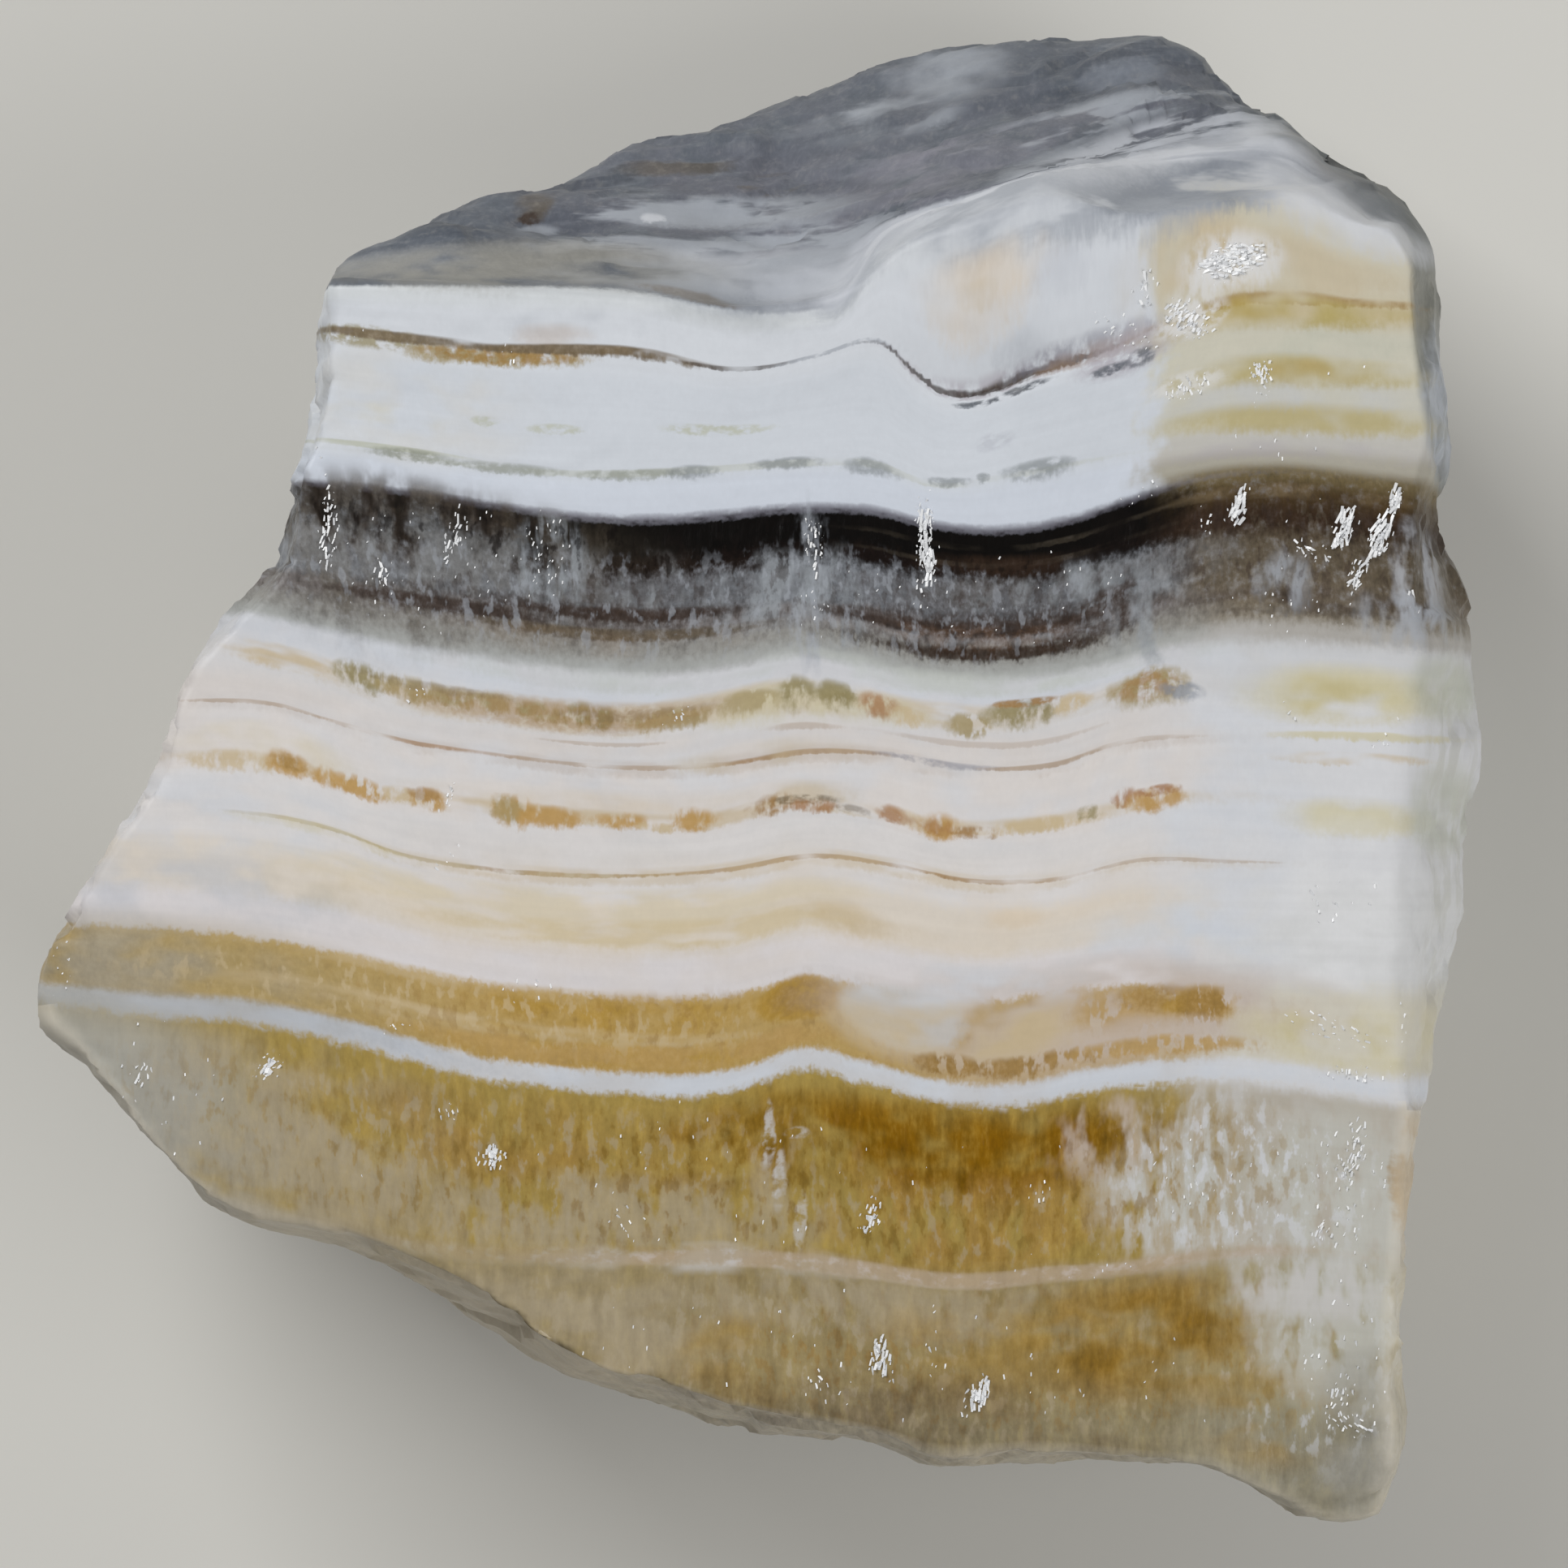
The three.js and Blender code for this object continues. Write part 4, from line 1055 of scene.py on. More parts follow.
# %% One material for each group of beds
ZONES = {
    # name: (from, to) down the pile, mm, how clear its calcite is (0 to 1), and the
    # pattern that its edges and its grain follow
    "calcite_crest": (-40.0, -5.0, 0.35, "crumbs"),
    "calcite_grey_crust": (-5.0, 2.0, 0.35, "crumbs"),
    "calcite_first_whites": (2.0, 6.0, 0.5, "crumbs"),
    "calcite_upper_whites": (6.0, 14.3, 0.5, "crumbs"),
    "calcite_black_band": (14.3, 20.0, 0.9, "crumbs"),
    "calcite_smoky_band": (20.0, 25.7, 0.9, "crumbs"),
    "calcite_ochre_lined_white": (25.7, 30.5, 0.4, "crumbs"),
    "calcite_thin_lined_white": (30.5, 33.2, 0.4, "crumbs"),
    "calcite_orange_lined_white": (33.2, 39.6, 0.4, "crumbs"),
    "calcite_cream_white": (39.6, 46.0, 0.5, "crumbs"),
    "calcite_tan_band": (46.0, 53.5, 0.7, "crumbs"),
    "calcite_amber": (53.5, 63.6, 1.0, "columns"),
    "calcite_lower_amber": (63.6, 120.0, 1.0, "columns"),
}
OVERLAP = 0.8      # mm by which a zone's tree reaches past the zone's ends
GRAIN_SHOWS = {"crumbs": 1.0, "columns": 0.45}    # how much of the finest grain shows
PATTERN_ROUGHNESS = 0.55
PATTERN_APART = 7.3     # how far apart two patterns are cut from the same noise
CELLS_PLACE = 20        # a place of its own for the pattern of crystal ends


class Skin:
    """A material's tree while it is built, with the stone's own coordinates in mm
    (across, down the pile and through to the back) and the patterns made so far."""

    def __init__(self, tree, fibre):
        self.tree, self.fibre, self.made, self.points = tree, fibre, {}, {}
        self.bed = self.written("bed")
        where = add(tree, "ShaderNodeTexCoord").outputs["Object"]
        split = add(tree, "ShaderNodeSeparateXYZ", i0=where).outputs
        self.x = maths(tree, "MULTIPLY", split[0], 1 / MM)
        z = maths(tree, "MULTIPLY", split[2], 1 / MM)
        self.own = add(tree, "ShaderNodeCombineXYZ", X=self.x, Y=self.bed,
                       Z=z).outputs[0]
        self.fine, self.broad, self.small = (
            self.swing(kind) for kind in ("columns", "sheaves", "crumbs"))
        self.grain = maths(tree, "MULTIPLY", self.swing("grain"), GRAIN_SHOWS[fibre])
        self.along = self.small if fibre == "crumbs" else self.fine

    def written(self, name):
        """A value that was written on the stone's vertices."""
        return add(self.tree, "ShaderNodeAttribute",
                   {"attribute_name": name}).outputs["Fac"]

    def scaled(self, size, place):
        """The stone's own coordinates, measured in one pattern's size."""
        return add(self.tree, "ShaderNodeMapping", Vector=self.own,
                   Scale=[1 / s for s in size],
                   Location=[PATTERN_APART * place] * 3).outputs[0]

    def pattern(self, kind):
        """A pattern from 0 to 1, made once for each tree."""
        if kind not in self.made:
            size, detail = PATTERNS[kind]
            self.made[kind] = add(
                self.tree, "ShaderNodeTexNoise", Scale=1.0, Detail=detail,
                Vector=self.scaled(size, list(PATTERNS).index(kind)),
                Roughness=PATTERN_ROUGHNESS).outputs["Fac"]
        return self.made[kind]

    def swing(self, kind):
        """A pattern that swings evenly to both sides of 0."""
        return maths(self.tree, "SUBTRACT", self.pattern(kind), 0.5)

    def point(self, kind):
        """Across, down the pile, and the pattern that breaks a mark up."""
        if kind not in self.points:
            value = 1.0 if kind == "even" else self.pattern(kind)
            self.points[kind] = add(self.tree, "ShaderNodeCombineXYZ", i0=self.x,
                                    i1=self.bed, i2=value).outputs[0]
        return self.points[kind]


# %% [markdown]
# ## Beds and marks of one group
# An edge is torn by three sizes of noise at once: the grain, the crystals, and the
# sheaves that they grew in. Beds and marks use the same three, so their edges tear
# in the same places, as they do where one layer grew on another.

# %% Beds and marks of one group
FINE_EDGE = 0.8                                # how far the crystals tear an edge
BROAD_EDGE = {"crumbs": 0.8, "columns": 1.4}   # and how far their sheaves do
SIDEWAYS = 2.5          # how far sheaves push a mark's ends, when crumbs push by 1
BORDER_TEARS = {"small": 2.0, "broad": 6.0, "clouds": 6.0}
BORDER_MIDDLE = 3.0     # mm that the clouds add to its place on the average
BELOW = 12.5, 17.0      # mm down the pile, from the upper border to the lower one
UPRIGHT = "columns", "sheaves", "dabs"
RAGGED_MOST = 0.8       # of a mark's half height
THINNED = 1.5, 1.6      # how fast a thin mark's edge frays with its tears, and its most


def edges(skin):
    """For crumbs and for columns: noise for a soft edge, noise for a torn edge, and
    the torn edge with its push sideways."""
    tree, found = skin.tree, {}
    across = maths(tree, "MULTIPLY_ADD", skin.broad, SIDEWAYS, skin.small)
    for kind, part in (("crumbs", skin.small), ("columns", skin.fine)):
        edge = maths(tree, "MULTIPLY_ADD", part, FINE_EDGE, skin.grain)
        torn = maths(tree, "MULTIPLY_ADD", skin.broad, BROAD_EDGE[kind], edge)
        found[kind] = (edge, torn, add(tree, "ShaderNodeCombineXYZ", i0=across,
                                       i1=torn).outputs[0])
    return found


def stacked(skin, torn, zone, beds):
    """One colour for every place in the zone, laid bed upon bed."""
    start, end = zone[0] - OVERLAP, zone[1] + OVERLAP
    colour = linear(GREY_TOP)
    for name, at, soft, ragged, hex_code in beds:
        if at < start:
            colour = linear(hex_code)
        elif at < end:
            colour = put(skin.tree, BED, {
                "Colour above": colour, "Colour": linear(hex_code),
                "Place": skin.bed, "Noise": torn, "From": at - soft / 2,
                "To": at + soft / 2, "Raggedness": ragged})
    return colour


def both_sides(skin, torn, zone):
    """The main beds on the left and the iron-rich ones on the right, with a torn
    border between them."""
    tree = skin.tree
    main = stacked(skin, torn, zone, MAIN_BEDS)
    right = stacked(skin, torn, zone, RIGHT_BEDS)
    border = maths(tree, "MULTIPLY_ADD", skin.small, BORDER_TEARS["small"], skin.x)
    border = maths(tree, "MULTIPLY_ADD", skin.broad, BORDER_TEARS["broad"], border)
    border = maths(tree, "MULTIPLY_ADD", skin.pattern("clouds"),
                   BORDER_TEARS["clouds"], border)
    below = eased(tree, skin.bed, *BELOW)
    meet = maths(tree, "MULTIPLY_ADD", below, SIDES_MEET[1] - SIDES_MEET[0],
                 SIDES_MEET[0] + BORDER_MIDDLE)
    width = maths(tree, "MULTIPLY_ADD", below, MEET_WIDTH[1] - MEET_WIDTH[0],
                  MEET_WIDTH[0])
    border = maths(tree, "DIVIDE", maths(tree, "SUBTRACT", border, meet), width)
    return mixed(tree, eased(tree, border, -1.0, 1.0), main, right)


def marked(skin, edge_noise, zone, colour):
    """Lays over the beds every mark that reaches into the zone, and counts them."""
    used = 0
    for kind, paint, strength, left, right, start, end in MARKS.values():
        blur, ragged_x, ragged, pattern, starts, full = KINDS[kind]
        wide, tall = (right - left) / 2, (end - start) / 2
        reach = (blur * tall + ragged) / 2
        if end + reach < zone[0] - OVERLAP or start - reach > zone[1] + OVERLAP:
            continue
        used += 1
        ragged = min(ragged, RAGGED_MOST * tall)
        edge, _, torn = edge_noise["columns" if pattern in UPRIGHT else skin.fibre]
        colour = put(skin.tree, MARK, {
            "Colour under": colour, "Colour": linear(PALETTE[paint]),
            "Strength": strength, "Where": skin.point(pattern), "Torn": torn,
            "Ragged": (ragged_x, ragged, 0), "Scale": (1 / wide, 1 / tall, 1),
            "Shift": (-(left + right) / 2 / wide, -(start + end) / 2 / tall, 0),
            "Edge noise": edge, "Thinned": min(THINNED[0] * ragged / tall, THINNED[1]),
            "Outside": 1 + blur, "Inside": 1 - blur, "Starts": starts, "Full": full})
    return colour, used


# %% [markdown]
# ## Grain, facets and finish
# The clear beds are full of grains and fibres, some milky and some dark, and the
# white ones show only fine layers. Every crystal's end is a small plane with its own
# tilt. Each plane is given by one cell of a Voronoi pattern, and a bump turns it to
# the light: at half a millimetre it is too fine to be cut into the skin.

# %% Grain, facets and finish
GRAIN_TONES = 0.40, 0.06    # how light a bed is where its grain begins, and is full
MILKY_GRAIN = 0.40          # how much of it is milky
MILKY_PATTERN = 0.46, 0.86  # where in its pattern the milk starts, is full
MILKY_NOISE = 0.6           # how far the finest grain tears the milk's edge
MILKY_TONES = 0.006, 0.07   # how light a bed holds some milky grain, and all of it
LAYER_SHADE = 0.08          # how strongly fine layers darken and lighten all beds
GRAIN_SHADE, SHEAF_SHADE, DAB_SHADE = 1.1, 0.7, 0.9    # how strongly these three do
CLEAR_SHADE = 0.95, 0.06    # all beds show the second share of them, clear ones both
PAINTED_FLANK_LIGHT = 0.36             # painted light: how much lighter an amber flank is made, for light glowing through its thin rim and to lift its shade
FLANK_MILK_BRUISE_AND_LIGHT = 0.50             # and how much milkier: partly crystal bruising from the blow, partly painted light on the shaded flank
FACET_HEIGHT = 0.28         # mm
FINE_RELIEF = 0.5           # how much the columns' noise adds to a facet
FACET_SHOWS = 0.55, 0.12    # all beds show the second share of it, clear ones both
ROUGHNESS = 0.46, -0.16     # of a white bed, and what a clear one adds to it
CALCITE_IOR = 1.49
PLAIN_SHEEN = 0.3


def grained(skin, colour, clear, grey, milk):
    """The beds' colours with grains and layers in them, and amber flanks painted paler and
    lighter.
    """
    tree = skin.tree
    milky = eased(tree, maths(tree, "MULTIPLY_ADD", skin.grain, MILKY_NOISE,
                              skin.pattern(skin.fibre)), *MILKY_PATTERN)
    milky = maths(tree, "MULTIPLY", milky, maths(tree, "MULTIPLY", clear, MILKY_GRAIN))
    milky = maths(tree, "MULTIPLY", milky, eased(tree, grey, *MILKY_TONES))
    colour = mixed(tree, milky, colour, linear(milk))
    shade = maths(tree, "MULTIPLY_ADD", skin.swing("films"), LAYER_SHADE, 1.0)
    rough = maths(tree, "MULTIPLY_ADD", skin.grain, GRAIN_SHADE, skin.along)
    rough = maths(tree, "MULTIPLY_ADD", skin.broad, SHEAF_SHADE, rough)
    if skin.fibre == "columns":
        rough = maths(tree, "MULTIPLY_ADD", skin.swing("dabs"), DAB_SHADE, rough)
    rough = maths(tree, "MULTIPLY", rough,
                  maths(tree, "MULTIPLY_ADD", clear, *CLEAR_SHADE))
    shade = maths(tree, "ADD", shade, rough)
    # Painted light: amber flanks turn milkier and lighter away from the face, partly
    # bruising, partly painted light over their shade.
    if skin.fibre == "columns":
        face = skin.written("face")
        bruise_and_light = maths(tree, "MULTIPLY_ADD", face, -FLANK_MILK_BRUISE_AND_LIGHT, FLANK_MILK_BRUISE_AND_LIGHT)
        colour = mixed(tree, bruise_and_light, colour, linear(MILKY))
        shade = maths(tree, "ADD", shade,
                      maths(tree, "MULTIPLY_ADD", face, -PAINTED_FLANK_LIGHT, PAINTED_FLANK_LIGHT))
    shaded = vectors(tree, "SCALE", colour)
    tree.links.new(shade, shaded.node.inputs["Scale"])
    return shaded


def faceted(skin, clear):
    """The skin's direction, with every crystal's end as a small tilted plane."""
    tree, where = skin.tree, skin.scaled(CELLS, CELLS_PLACE)
    cells = add(tree, "ShaderNodeTexVoronoi", Scale=1.0, Vector=where).outputs
    tilt = vectors(tree, "SUBTRACT", cells["Color"], HALF_WAY)
    inside = vectors(tree, "SUBTRACT", where, cells["Position"])
    facet = add(tree, "ShaderNodeVectorMath", {"operation": "DOT_PRODUCT"},
                i0=inside, i1=tilt).outputs["Value"]
    relief = maths(tree, "MULTIPLY_ADD", skin.fine, FINE_RELIEF, facet)
    return add(tree, "ShaderNodeBump", Height=relief, Distance=FACET_HEIGHT * MM,
               Strength=maths(tree, "MULTIPLY_ADD", clear, *FACET_SHOWS)).outputs[0]


def calcite(name, zone):
    """Banded calcite, broken: crystalline, satin, with bright cleavage specks."""
    start, end, clearness, fibre = zone
    material = bpy.data.materials.new(name)
    material.use_nodes = True
    tree = material.node_tree
    shader = tree.nodes["Principled BSDF"]
    skin = Skin(tree, fibre)
    edge_noise = edges(skin)
    colour = both_sides(skin, edge_noise[fibre][1], (start, end))
    colour, used = marked(skin, edge_noise, (start, end), colour)
    grey = add(tree, "ShaderNodeRGBToBW", i0=colour).outputs[0]
    clear = maths(tree, "MULTIPLY", eased(tree, grey, *GRAIN_TONES), clearness)
    colour = grained(skin, colour, clear, grey, OWN_MILK.get(name, MILKY))
    tree.links.new(colour, shader.inputs["Base Color"])
    tree.links.new(faceted(skin, clear), shader.inputs["Normal"])
    white, clearer = ROUGHNESS
    tree.links.new(maths(tree, "MULTIPLY_ADD", clear, clearer, white),
                   shader.inputs["Roughness"])
    shader.inputs["IOR"].default_value = CALCITE_IOR
    shader.inputs["Specular IOR Level"].default_value = SHEEN.get(name, PLAIN_SHEEN)
    print(material.name, "-", used, "marks,", len(tree.nodes), "nodes")
    return material


# %% [markdown]
# ## Dress the stone
# Each face takes the material of the beds at its middle. Neighbouring groups share
# every bed and mark near their border, so no seam shows between them.

# %% Dress the stone
def sort_into_zones(mesh):
    """Gives each face the material of the beds that it shows."""
    beds = np.empty(len(mesh.vertices), np.float32)
    mesh.attributes["bed"].data.foreach_get("value", beds)
    corners = np.empty(len(mesh.loops), np.int32)
    mesh.loops.foreach_get("vertex_index", corners)
    starts = np.empty(len(mesh.polygons), np.int32)
    mesh.polygons.foreach_get("loop_start", starts)
    middle = np.add.reduceat(beds[corners], starts) / np.diff(
        np.append(starts, len(corners)))
    index = np.searchsorted([zone[1] for zone in ZONES.values()], middle)
    mesh.polygons.foreach_set("material_index",
                              np.minimum(index, len(ZONES) - 1).astype(np.int32))
    mesh.update()
    print("faces in each zone:", np.bincount(index).tolist())


stone.data.materials.clear()
for name, zone in ZONES.items():
    stone.data.materials.append(calcite(name, zone))
sort_into_zones(stone.data)
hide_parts(STONE)
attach(stone, "root")

# %% [markdown]
# ## Cleavage flakes
# Calcite splits along three directions at 75 degrees to one another, so wherever the
# hammer crushed it, small rhombs stand up and catch the light as white streaks. They
# could be painted, but paint doesn't flash when the stone is turned. Here one rhomb is
# scattered by geometry nodes over marked spots, closest in the middle of each spot, and
# each rhomb is sized, leaned and stretched a little differently.

# %% Cleavage flakes
# Where flakes are seen: middle (across, up) and half widths in mm, how many per square
# mm, the size of one in mm, how long it is for its width, and its lean in degrees.
FLAKES = {
    "tall streak": (10.5, 14.8, 0.25, 3.1, 34, 0.30, 4.0, 2),
    "tall streak, foot": (10.0, 11.0, 0.3, 0.7, 8, 0.24, 1.8, 6),
    "leaf": (31.5, 17.0, 0.4, 1.1, 26, 0.34, 3.2, -14),
    "leaf crumbs": (29.5, 16.0, 0.5, 0.6, 6, 0.24, 1.4, 0),
    "cluster head": (38.5, 15.5, 0.5, 1.3, 26, 0.34, 3.4, -20),
    "cluster tail": (36.5, 14.0, 0.4, 1.3, 14, 0.24, 2.2, 70),
    "long streak, top": (42.0, 17.5, 0.3, 0.9, 24, 0.30, 3.4, -14),
    "long streak": (41.0, 15.0, 0.45, 1.5, 26, 0.34, 3.6, -20),
    "long streak, foot": (39.5, 12.5, 0.35, 1.1, 18, 0.28, 3.2, -28),
    "side veil": (43.5, 11.5, 0.4, 2.2, 5, 0.22, 3.0, 0),
    "left column": (-29.5, 15.5, 0.3, 2.8, 12, 0.22, 3.0, -4),
    "left field": (-22.0, 13.0, 9.0, 4.5, 0.6, 0.13, 1.8, 0),
    "left flake": (-26.0, 12.5, 0.3, 0.6, 12, 0.30, 2.4, 0),
    "leaning veil": (-21.0, 15.0, 0.3, 1.8, 14, 0.22, 2.8, -14),
    "middle field": (-15.0, 14.0, 1.5, 3.0, 3.0, 0.15, 2.0, 0),
    "hump column": (3.0, 14.5, 0.5, 2.0, 10, 0.20, 2.6, 6),
    "hump foot": (3.0, 10.0, 1.0, 2.5, 1.4, 0.16, 1.6, 0),
    "fold field": (16.0, 11.5, 11.0, 4.0, 0.3, 0.14, 1.4, 0),
    "fold flakes": (20.5, 13.0, 0.8, 0.5, 3, 0.22, 1.5, 0),
    "edge glitter": (25.0, 18.0, 2.0, 0.5, 2.6, 0.20, 1.3, 20),
    "umber field": (35.0, 13.5, 8.0, 5.0, 0.25, 0.15, 1.4, 0),
    "umber crumbs": (35.0, 10.0, 2.5, 2.0, 1.0, 0.17, 1.4, 0),
    "frost on the shoulder": (31.0, 33.5, 0.9, 2.2, 30, 0.32, 2.0, -75),
    "frost, lower": (28.0, 29.5, 1.8, 1.0, 14, 0.28, 1.8, -30),
    "frost, left": (25.0, 31.5, 0.8, 1.2, 5, 0.30, 2.4, 0),
    "frost, second gold": (28.0, 25.0, 2.0, 0.5, 10, 0.24, 1.6, 20),
    "flake on gold": (33.0, 26.0, 0.8, 0.6, 20, 0.30, 1.6, 10),
    "flake below gold": (33.0, 24.5, 0.8, 0.3, 8, 0.20, 1.4, 60),
    "gold crumbs": (40.0, 26.0, 2.5, 1.5, 1.0, 0.17, 1.3, 0),
    "olive needles": (34.0, 21.0, 4.0, 1.0, 0.7, 0.17, 2.4, 0),
    "crushed": (24.0, 28.5, 3.0, 1.2, 2.6, 0.18, 1.5, -30),
    "ochre fleck": (-17.5, 27.0, 0.3, 1.0, 8, 0.20, 2.6, 0),
    "brown flecks": (-25.5, 28.0, 4.5, 1.0, 0.6, 0.16, 1.4, 0),
    "left rim": (-30.0, 23.5, 0.4, 5.5, 1.4, 0.17, 1.3, 0),
    "ochre glint": (-23.5, 4.5, 0.8, 0.4, 6, 0.20, 1.3, 40),
    "ochre glint, right": (-6.0, 3.0, 1.2, 0.3, 5, 0.20, 1.6, 30),
    "orange glint": (-21.5, -2.5, 0.3, 1.0, 10, 0.22, 2.4, -12),
    "line glint": (-21.5, -6.5, 1.2, 0.3, 4, 0.19, 1.5, 50),
    "milk flakes": (38.5, -9.0, 3.0, 2.5, 0.4, 0.24, 1.4, 30),
    "straw flakes": (35.0, 3.5, 0.6, 1.1, 4, 0.24, 2.0, -24),
    "right flakes": (41.5, 1.5, 1.5, 1.0, 1.6, 0.22, 1.4, 40),
    "tan flakes": (-16.0, -15.5, 2.5, 1.0, 1.0, 0.19, 1.5, 20),
    "tan glint": (-25.0, -18.0, 0.7, 0.5, 5, 0.24, 1.6, 50),
    "lower right rows": (37.5, -18.0, 0.8, 4.0, 3.6, 0.22, 1.8, 70),
    "frost, white line": (39.0, -21.0, 2.5, 0.6, 6, 0.22, 1.8, 0),
    "edge glitter, right": (42.5, -18.0, 0.4, 4.5, 1.6, 0.20, 1.6, 0),
    "glint, left a": (-33.5, -20.5, 0.5, 0.8, 26, 0.36, 1.8, -30),
    "glint, left b": (-42.0, -21.0, 0.3, 1.0, 10, 0.22, 2.4, -10),
    "glint, left c": (-21.5, -23.5, 0.4, 0.9, 10, 0.22, 2.2, 30),
    "glint, left d": (-18.5, -26.5, 0.5, 0.6, 26, 0.36, 1.6, 0),
    "far left flecks": (-41.5, -22.0, 6.0, 5.0, 0.25, 0.17, 1.8, 0),
    "rim flecks, left": (-47.5, -14.0, 0.8, 2.5, 2, 0.16, 1.2, 0),
    "amber field": (-3.5, -28.0, 25.0, 5.5, 0.12, 0.15, 2.0, 0),
    "amber glint": (7.0, -30.5, 0.3, 1.2, 20, 0.26, 3.0, -18),
    "amber needle": (18.0, -29.0, 0.3, 0.9, 8, 0.20, 2.6, 0),
    "frost, cloud": (-9.5, -31.0, 1.2, 0.8, 4, 0.20, 2.0, 40),
    "milk field": (30.0, -28.5, 5.0, 5.0, 0.6, 0.14, 2.4, 0),
    "chalk field": (39.0, -29.0, 3.0, 5.0, 1.0, 0.18, 2.2, 0),
    "chalk streak": (39.0, -26.5, 0.3, 2.4, 14, 0.24, 2.6, -12),
    "chalk corner": (37.0, -31.5, 0.4, 1.2, 8, 0.21, 2.2, -20),
    "pale line crumbs": (20.0, -34.0, 6.0, 1.0, 0.6, 0.15, 1.3, 0),
    "lower field": (7.0, -40.5, 28.0, 5.0, 0.16, 0.16, 2.0, 0),
    "lower milk field": (38.5, -40.0, 3.5, 5.0, 0.7, 0.18, 1.8, 0),
    "shell glint": (39.0, -44.5, 0.3, 1.6, 14, 0.24, 2.2, 70),
    "shell rim": (38.0, -42.5, 0.3, 1.4, 10, 0.22, 2.6, -20),
    "column, lower a": (7.5, -40.0, 0.3, 1.5, 20, 0.28, 3.4, 0),
    "column, lower b": (14.0, -42.5, 0.3, 1.4, 22, 0.32, 3.4, -12),
    "column, lower c": (3.5, -41.5, 0.5, 0.9, 8, 0.22, 1.8, 40),
    "column, lower d": (11.0, -40.0, 0.3, 1.6, 4, 0.20, 2.6, 0),
}
SPOT_RIM = 0.15          # mm that every spot reaches past its half widths
SPOT_FADE = -1.1, -0.6   # of a spot's size: no flakes outside the first, all inside
FLAKES_FACE = 0.5, 0.8   # how level the skin is where flakes begin, and are all there
FLAKE_SEED = 7
RHOMB_WIDE, RHOMB_THICK = 0.5, 0.42                   # of its length
RHOMB_SLANT, RHOMB_TAPER, RHOMB_TIP = 0.22, 0.35, 0.12
FLAKE_TURN = 0.6, 0.6, 0.35   # radians, the most that a flake is turned on each axis
FLAKE_SIZES = 0.45, 1.35      # times the size that its spot gives
FLAKE_THICK = 0.6             # of its width
FLAKE_GLINT_TONES = 0.55, 1.0       # between the two colours, at random per flake: painted brightness, as if each caught the light differently
# The white of crushed calcite, partly a painted glint: grey to white.
FLAKE_WHITE_AND_GLINT_COLOURS = "#9fa3aa", "#f4f5f6"
FLAKE_ROUGHNESS = 0.22


def mark_flakes(mesh):
    """Writes how dense, how large, how long and how leaning the flakes are."""
    points = read_points(mesh)
    facing = soft_step(read_points(mesh, "normal")[:, 2], *FLAKES_FACE)
    found = np.zeros((4, len(points)))
    for x, y, wide, tall, dense, size, stretch, lean in FLAKES.values():
        turn = math.radians(lean)
        dx, dy = points[:, 0] - x, points[:, 1] - y
        across = (dx * math.cos(turn) + dy * math.sin(turn)) / (wide + SPOT_RIM)
        along = (dy * math.cos(turn) - dx * math.sin(turn)) / (tall + SPOT_RIM)
        share = dense * soft_step(-np.hypot(across, along), *SPOT_FADE) * facing
        stronger = share > found[0]
        found[:, stronger] = np.array([share[stronger], *(
            np.full(stronger.sum(), v) for v in (size, stretch, turn))])
    for name, values in zip(("flakes", "flake_size", "flake_stretch", "flake_lean"), found):
        mark = mesh.attributes.new(name, "FLOAT", "POINT")
        mark.data.foreach_set("value", values.astype(np.float32))


def flake_shape():
    """One chip of calcite, a squashed rhomb of unit size: every cleavage piece is one."""
    shape = bmesh.new()
    bmesh.ops.create_cube(shape, size=1.0)
    for corner in shape.verts:
        x, y, z = corner.co
        corner.co = (RHOMB_WIDE * x + RHOMB_SLANT * y, y * (1 - RHOMB_TAPER * abs(x)),
                     RHOMB_THICK * z + RHOMB_TIP * x)
    mesh = bpy.data.meshes.new("flake shape")
    shape.to_mesh(mesh)
    shape.free()
    return bpy.data.objects.new("flake shape", mesh)


def flake_finish():
    """Fresh cleavage: snow white where it is crushed, partly a painted glint that shows under
    any light, bright where it lies flat.
    """
    material = bpy.data.materials.new("calcite_cleavage_flakes")
    material.use_nodes = True
    tree = material.node_tree
    shader = tree.nodes["Principled BSDF"]
    tone = add(tree, "ShaderNodeAttribute", {"attribute_name": "tone"}).outputs["Fac"]
    colour = mixed(tree, tone, *(linear(end) for end in FLAKE_WHITE_AND_GLINT_COLOURS))
    tree.links.new(colour, shader.inputs["Base Color"])
    shader.inputs["Roughness"].default_value = FLAKE_ROUGHNESS
    return material


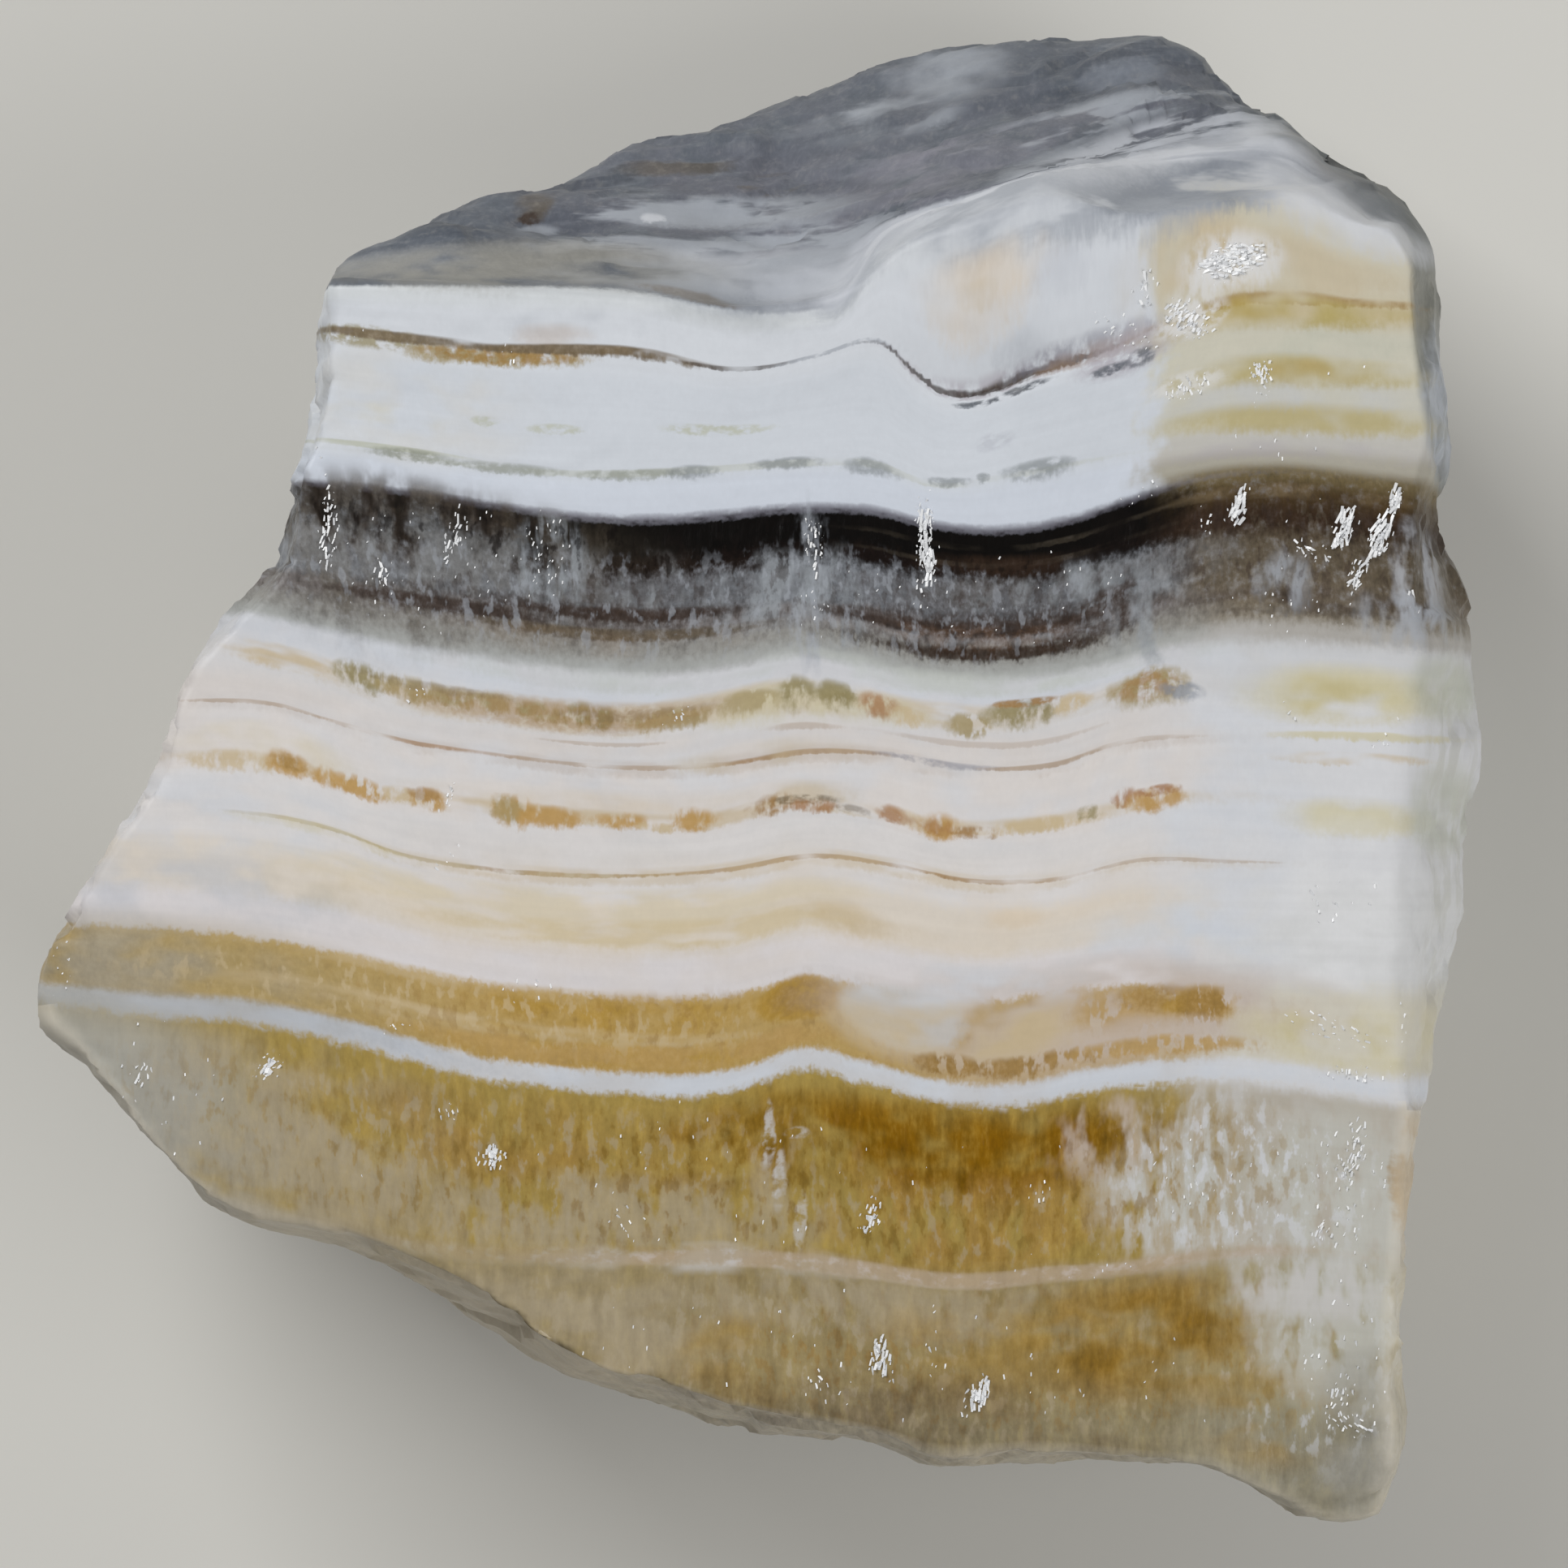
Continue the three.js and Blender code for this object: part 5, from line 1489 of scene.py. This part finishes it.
def scatter_tree():
    """Geometry nodes: rhombs on the marked skin, leaned, stretched and varied."""
    tree = bpy.data.node_groups.new("cleavage flakes", "GeometryNodeTree")
    face = tree.interface
    face.new_socket("Geometry", in_out="INPUT", socket_type="NodeSocketGeometry")
    face.new_socket("Flake", in_out="INPUT", socket_type="NodeSocketObject")
    face.new_socket("Seed", in_out="INPUT", socket_type="NodeSocketInt")
    face.new_socket("Finish", in_out="INPUT", socket_type="NodeSocketMaterial")
    face.new_socket("Geometry", in_out="OUTPUT", socket_type="NodeSocketGeometry")
    given = tree.nodes.new("NodeGroupInput").outputs
    made = tree.nodes.new("NodeGroupOutput").inputs[0]

    def read(name):
        """A value that was written on the stone's vertices."""
        return add(tree, "GeometryNodeInputNamedAttribute", Name=name).outputs[0]

    def chance(kind, low_end, high_end, seed):
        """A value that differs from flake to flake."""
        node = add(tree, "FunctionNodeRandomValue", {"data_type": kind})
        place = 0 if kind == "FLOAT_VECTOR" else 2
        node.inputs[place].default_value = low_end
        node.inputs[place + 1].default_value = high_end
        tree.links.new(add(tree, "FunctionNodeInputInt", {"integer": seed}).outputs[0],
                       node.inputs["Seed"])
        return node.outputs[0 if kind == "FLOAT_VECTOR" else 1]

    dense = maths(tree, "MULTIPLY", read("flakes"), 1 / MM ** 2)
    points = add(tree, "GeometryNodeDistributePointsOnFaces",
                 Mesh=given["Geometry"], Density=dense, Seed=given["Seed"])
    lean = add(tree, "ShaderNodeCombineXYZ", Z=read("flake_lean")).outputs[0]
    turn = vectors(tree, "ADD", chance("FLOAT_VECTOR", [-t for t in FLAKE_TURN],
                                       FLAKE_TURN, 1), lean)
    size = maths(tree, "MULTIPLY", read("flake_size"), MM)
    size = maths(tree, "MULTIPLY", size, chance("FLOAT", *FLAKE_SIZES, 2))
    shape = add(tree, "ShaderNodeCombineXYZ", X=size,
                Y=maths(tree, "MULTIPLY", size, read("flake_stretch")),
                Z=maths(tree, "MULTIPLY", size, FLAKE_THICK)).outputs[0]
    flake = add(tree, "GeometryNodeObjectInfo", Object=given["Flake"]).outputs["Geometry"]
    chips = add(tree, "GeometryNodeInstanceOnPoints", Points=points.outputs["Points"],
                Instance=flake, Rotation=turn, Scale=shape).outputs[0]
    # Each flake's random tone is painted brightness, for how strongly it catches the light.
    chips = add(tree, "GeometryNodeStoreNamedAttribute",
                {"data_type": "FLOAT", "domain": "INSTANCE"}, Geometry=chips, Name="tone",
                Value=chance("FLOAT", *FLAKE_GLINT_TONES, 3)).outputs[0]
    chips = add(tree, "GeometryNodeRealizeInstances", i0=chips).outputs[0]
    done = add(tree, "GeometryNodeSetMaterial", Geometry=chips,
               Material=given["Finish"]).outputs[0]
    tree.links.new(done, made)
    return tree


def scattered(on, name, tree, values):
    """A new piece: what a geometry-nodes tree makes on another piece, as a plain mesh."""
    carrier = on.copy()
    carrier.data = on.data.copy()
    bpy.context.scene.collection.objects.link(carrier)
    scatter = carrier.modifiers.new("scatter", "NODES")
    scatter.node_group = tree
    for item in tree.interface.items_tree:
        if item.in_out == "INPUT" and item.name in values:
            scatter[item.identifier] = values[item.name]
    mesh = bpy.data.meshes.new_from_object(
        carrier.evaluated_get(bpy.context.evaluated_depsgraph_get()))
    bpy.data.objects.remove(carrier)
    mesh.name = name
    piece = bpy.data.objects.new(name, mesh)
    bpy.context.scene.collection.objects.link(piece)
    return piece


mark_flakes(stone.data)
rhomb = flake_shape()
flakes = scattered(stone, "cleavage_flakes", scatter_tree(),
                   {"Flake": rhomb, "Seed": FLAKE_SEED, "Finish": flake_finish()})
bpy.data.objects.remove(rhomb)
print(len(flakes.data.polygons) // 6, "flakes,", len(flakes.data.polygons), "faces")
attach(flakes, "root")

# %% [markdown]
# ## Floor, lights and camera
# A stone is shown best on matt paper, under one large soft light from the upper left
# and a weaker one from the lower right. Small hard lamps would burn out the white
# beds. The camera hangs straight above the broken face, far away with a long lens, so
# that the face isn't bent by perspective.

# %% Floor, lights and camera
FACE_HEIGHT = 42.0      # mm from the floor to the banded face
CAMERA_AWAY = 450.0     # mm from there to the camera
FRAME_WIDTH = 104.9     # mm of the banded face that the picture is wide
SENSOR = 36.0
AIM = (1.0, -1.6)       # the point of the face in the middle of the picture
FLOOR_HALF = 1500.0     # mm from the floor's middle to its sides
PAPER, PAPER_ROUGHNESS = "#c9c8c3", 0.9
SKY, SKY_STRENGTH = "#edebe8", 0.30
LAMPS = {
    # name: where it hangs and its side, mm, and its power, watts
    "key": ((-260, 330, 420), 300, 2.5),
    "fill": ((380, -200, 330), 380, 1.5),
}
LAMPS_AIM = 0, 0, 30    # mm


def light_area(name, place, size, power):
    """A square softbox, aimed at the stone."""
    lamp = bpy.data.lights.new(name, "AREA")
    lamp.size = size * MM
    lamp.energy = power
    holder = bpy.data.objects.new(name, lamp)
    holder.location = Vector(place) * MM
    away = Vector(place) - Vector(LAMPS_AIM)
    holder.rotation_euler = away.to_track_quat("Z", "Y").to_euler()
    bpy.context.scene.collection.objects.link(holder)


def floor_finish():
    """Pale matt paper."""
    material = bpy.data.materials.new("paper_matt_pale")
    material.use_nodes = True
    shader = material.node_tree.nodes["Principled BSDF"]
    shader.inputs["Base Color"].default_value = linear(PAPER)
    shader.inputs["Roughness"].default_value = PAPER_ROUGHNESS
    return material


floor_mesh = bpy.data.meshes.new("studio_floor")
reach = FLOOR_HALF * MM
floor_mesh.from_pydata([(-reach, -reach, 0), (reach, -reach, 0), (reach, reach, 0),
                        (-reach, reach, 0)], [], [(0, 1, 2, 3)])
floor_mesh.materials.append(floor_finish())
studio_floor = bpy.data.objects.new("studio_floor", floor_mesh)
bpy.context.scene.collection.objects.link(studio_floor)

for name, lamp in LAMPS.items():
    light_area(name, *lamp)

world = bpy.data.worlds.new("studio")
world.use_nodes = True
sky = world.node_tree.nodes["Background"].inputs
sky["Color"].default_value = linear(SKY)
sky["Strength"].default_value = SKY_STRENGTH
scene = bpy.context.scene
scene.world = world
scene.view_settings.view_transform = "Standard"

lens = bpy.data.cameras.new("overhead")
lens.sensor_width = SENSOR
lens.lens = SENSOR * CAMERA_AWAY / FRAME_WIDTH
camera = bpy.data.objects.new("overhead", lens)
camera.location = Vector((*AIM, FACE_HEIGHT + CAMERA_AWAY)) * MM
scene.collection.objects.link(camera)
scene.camera = camera
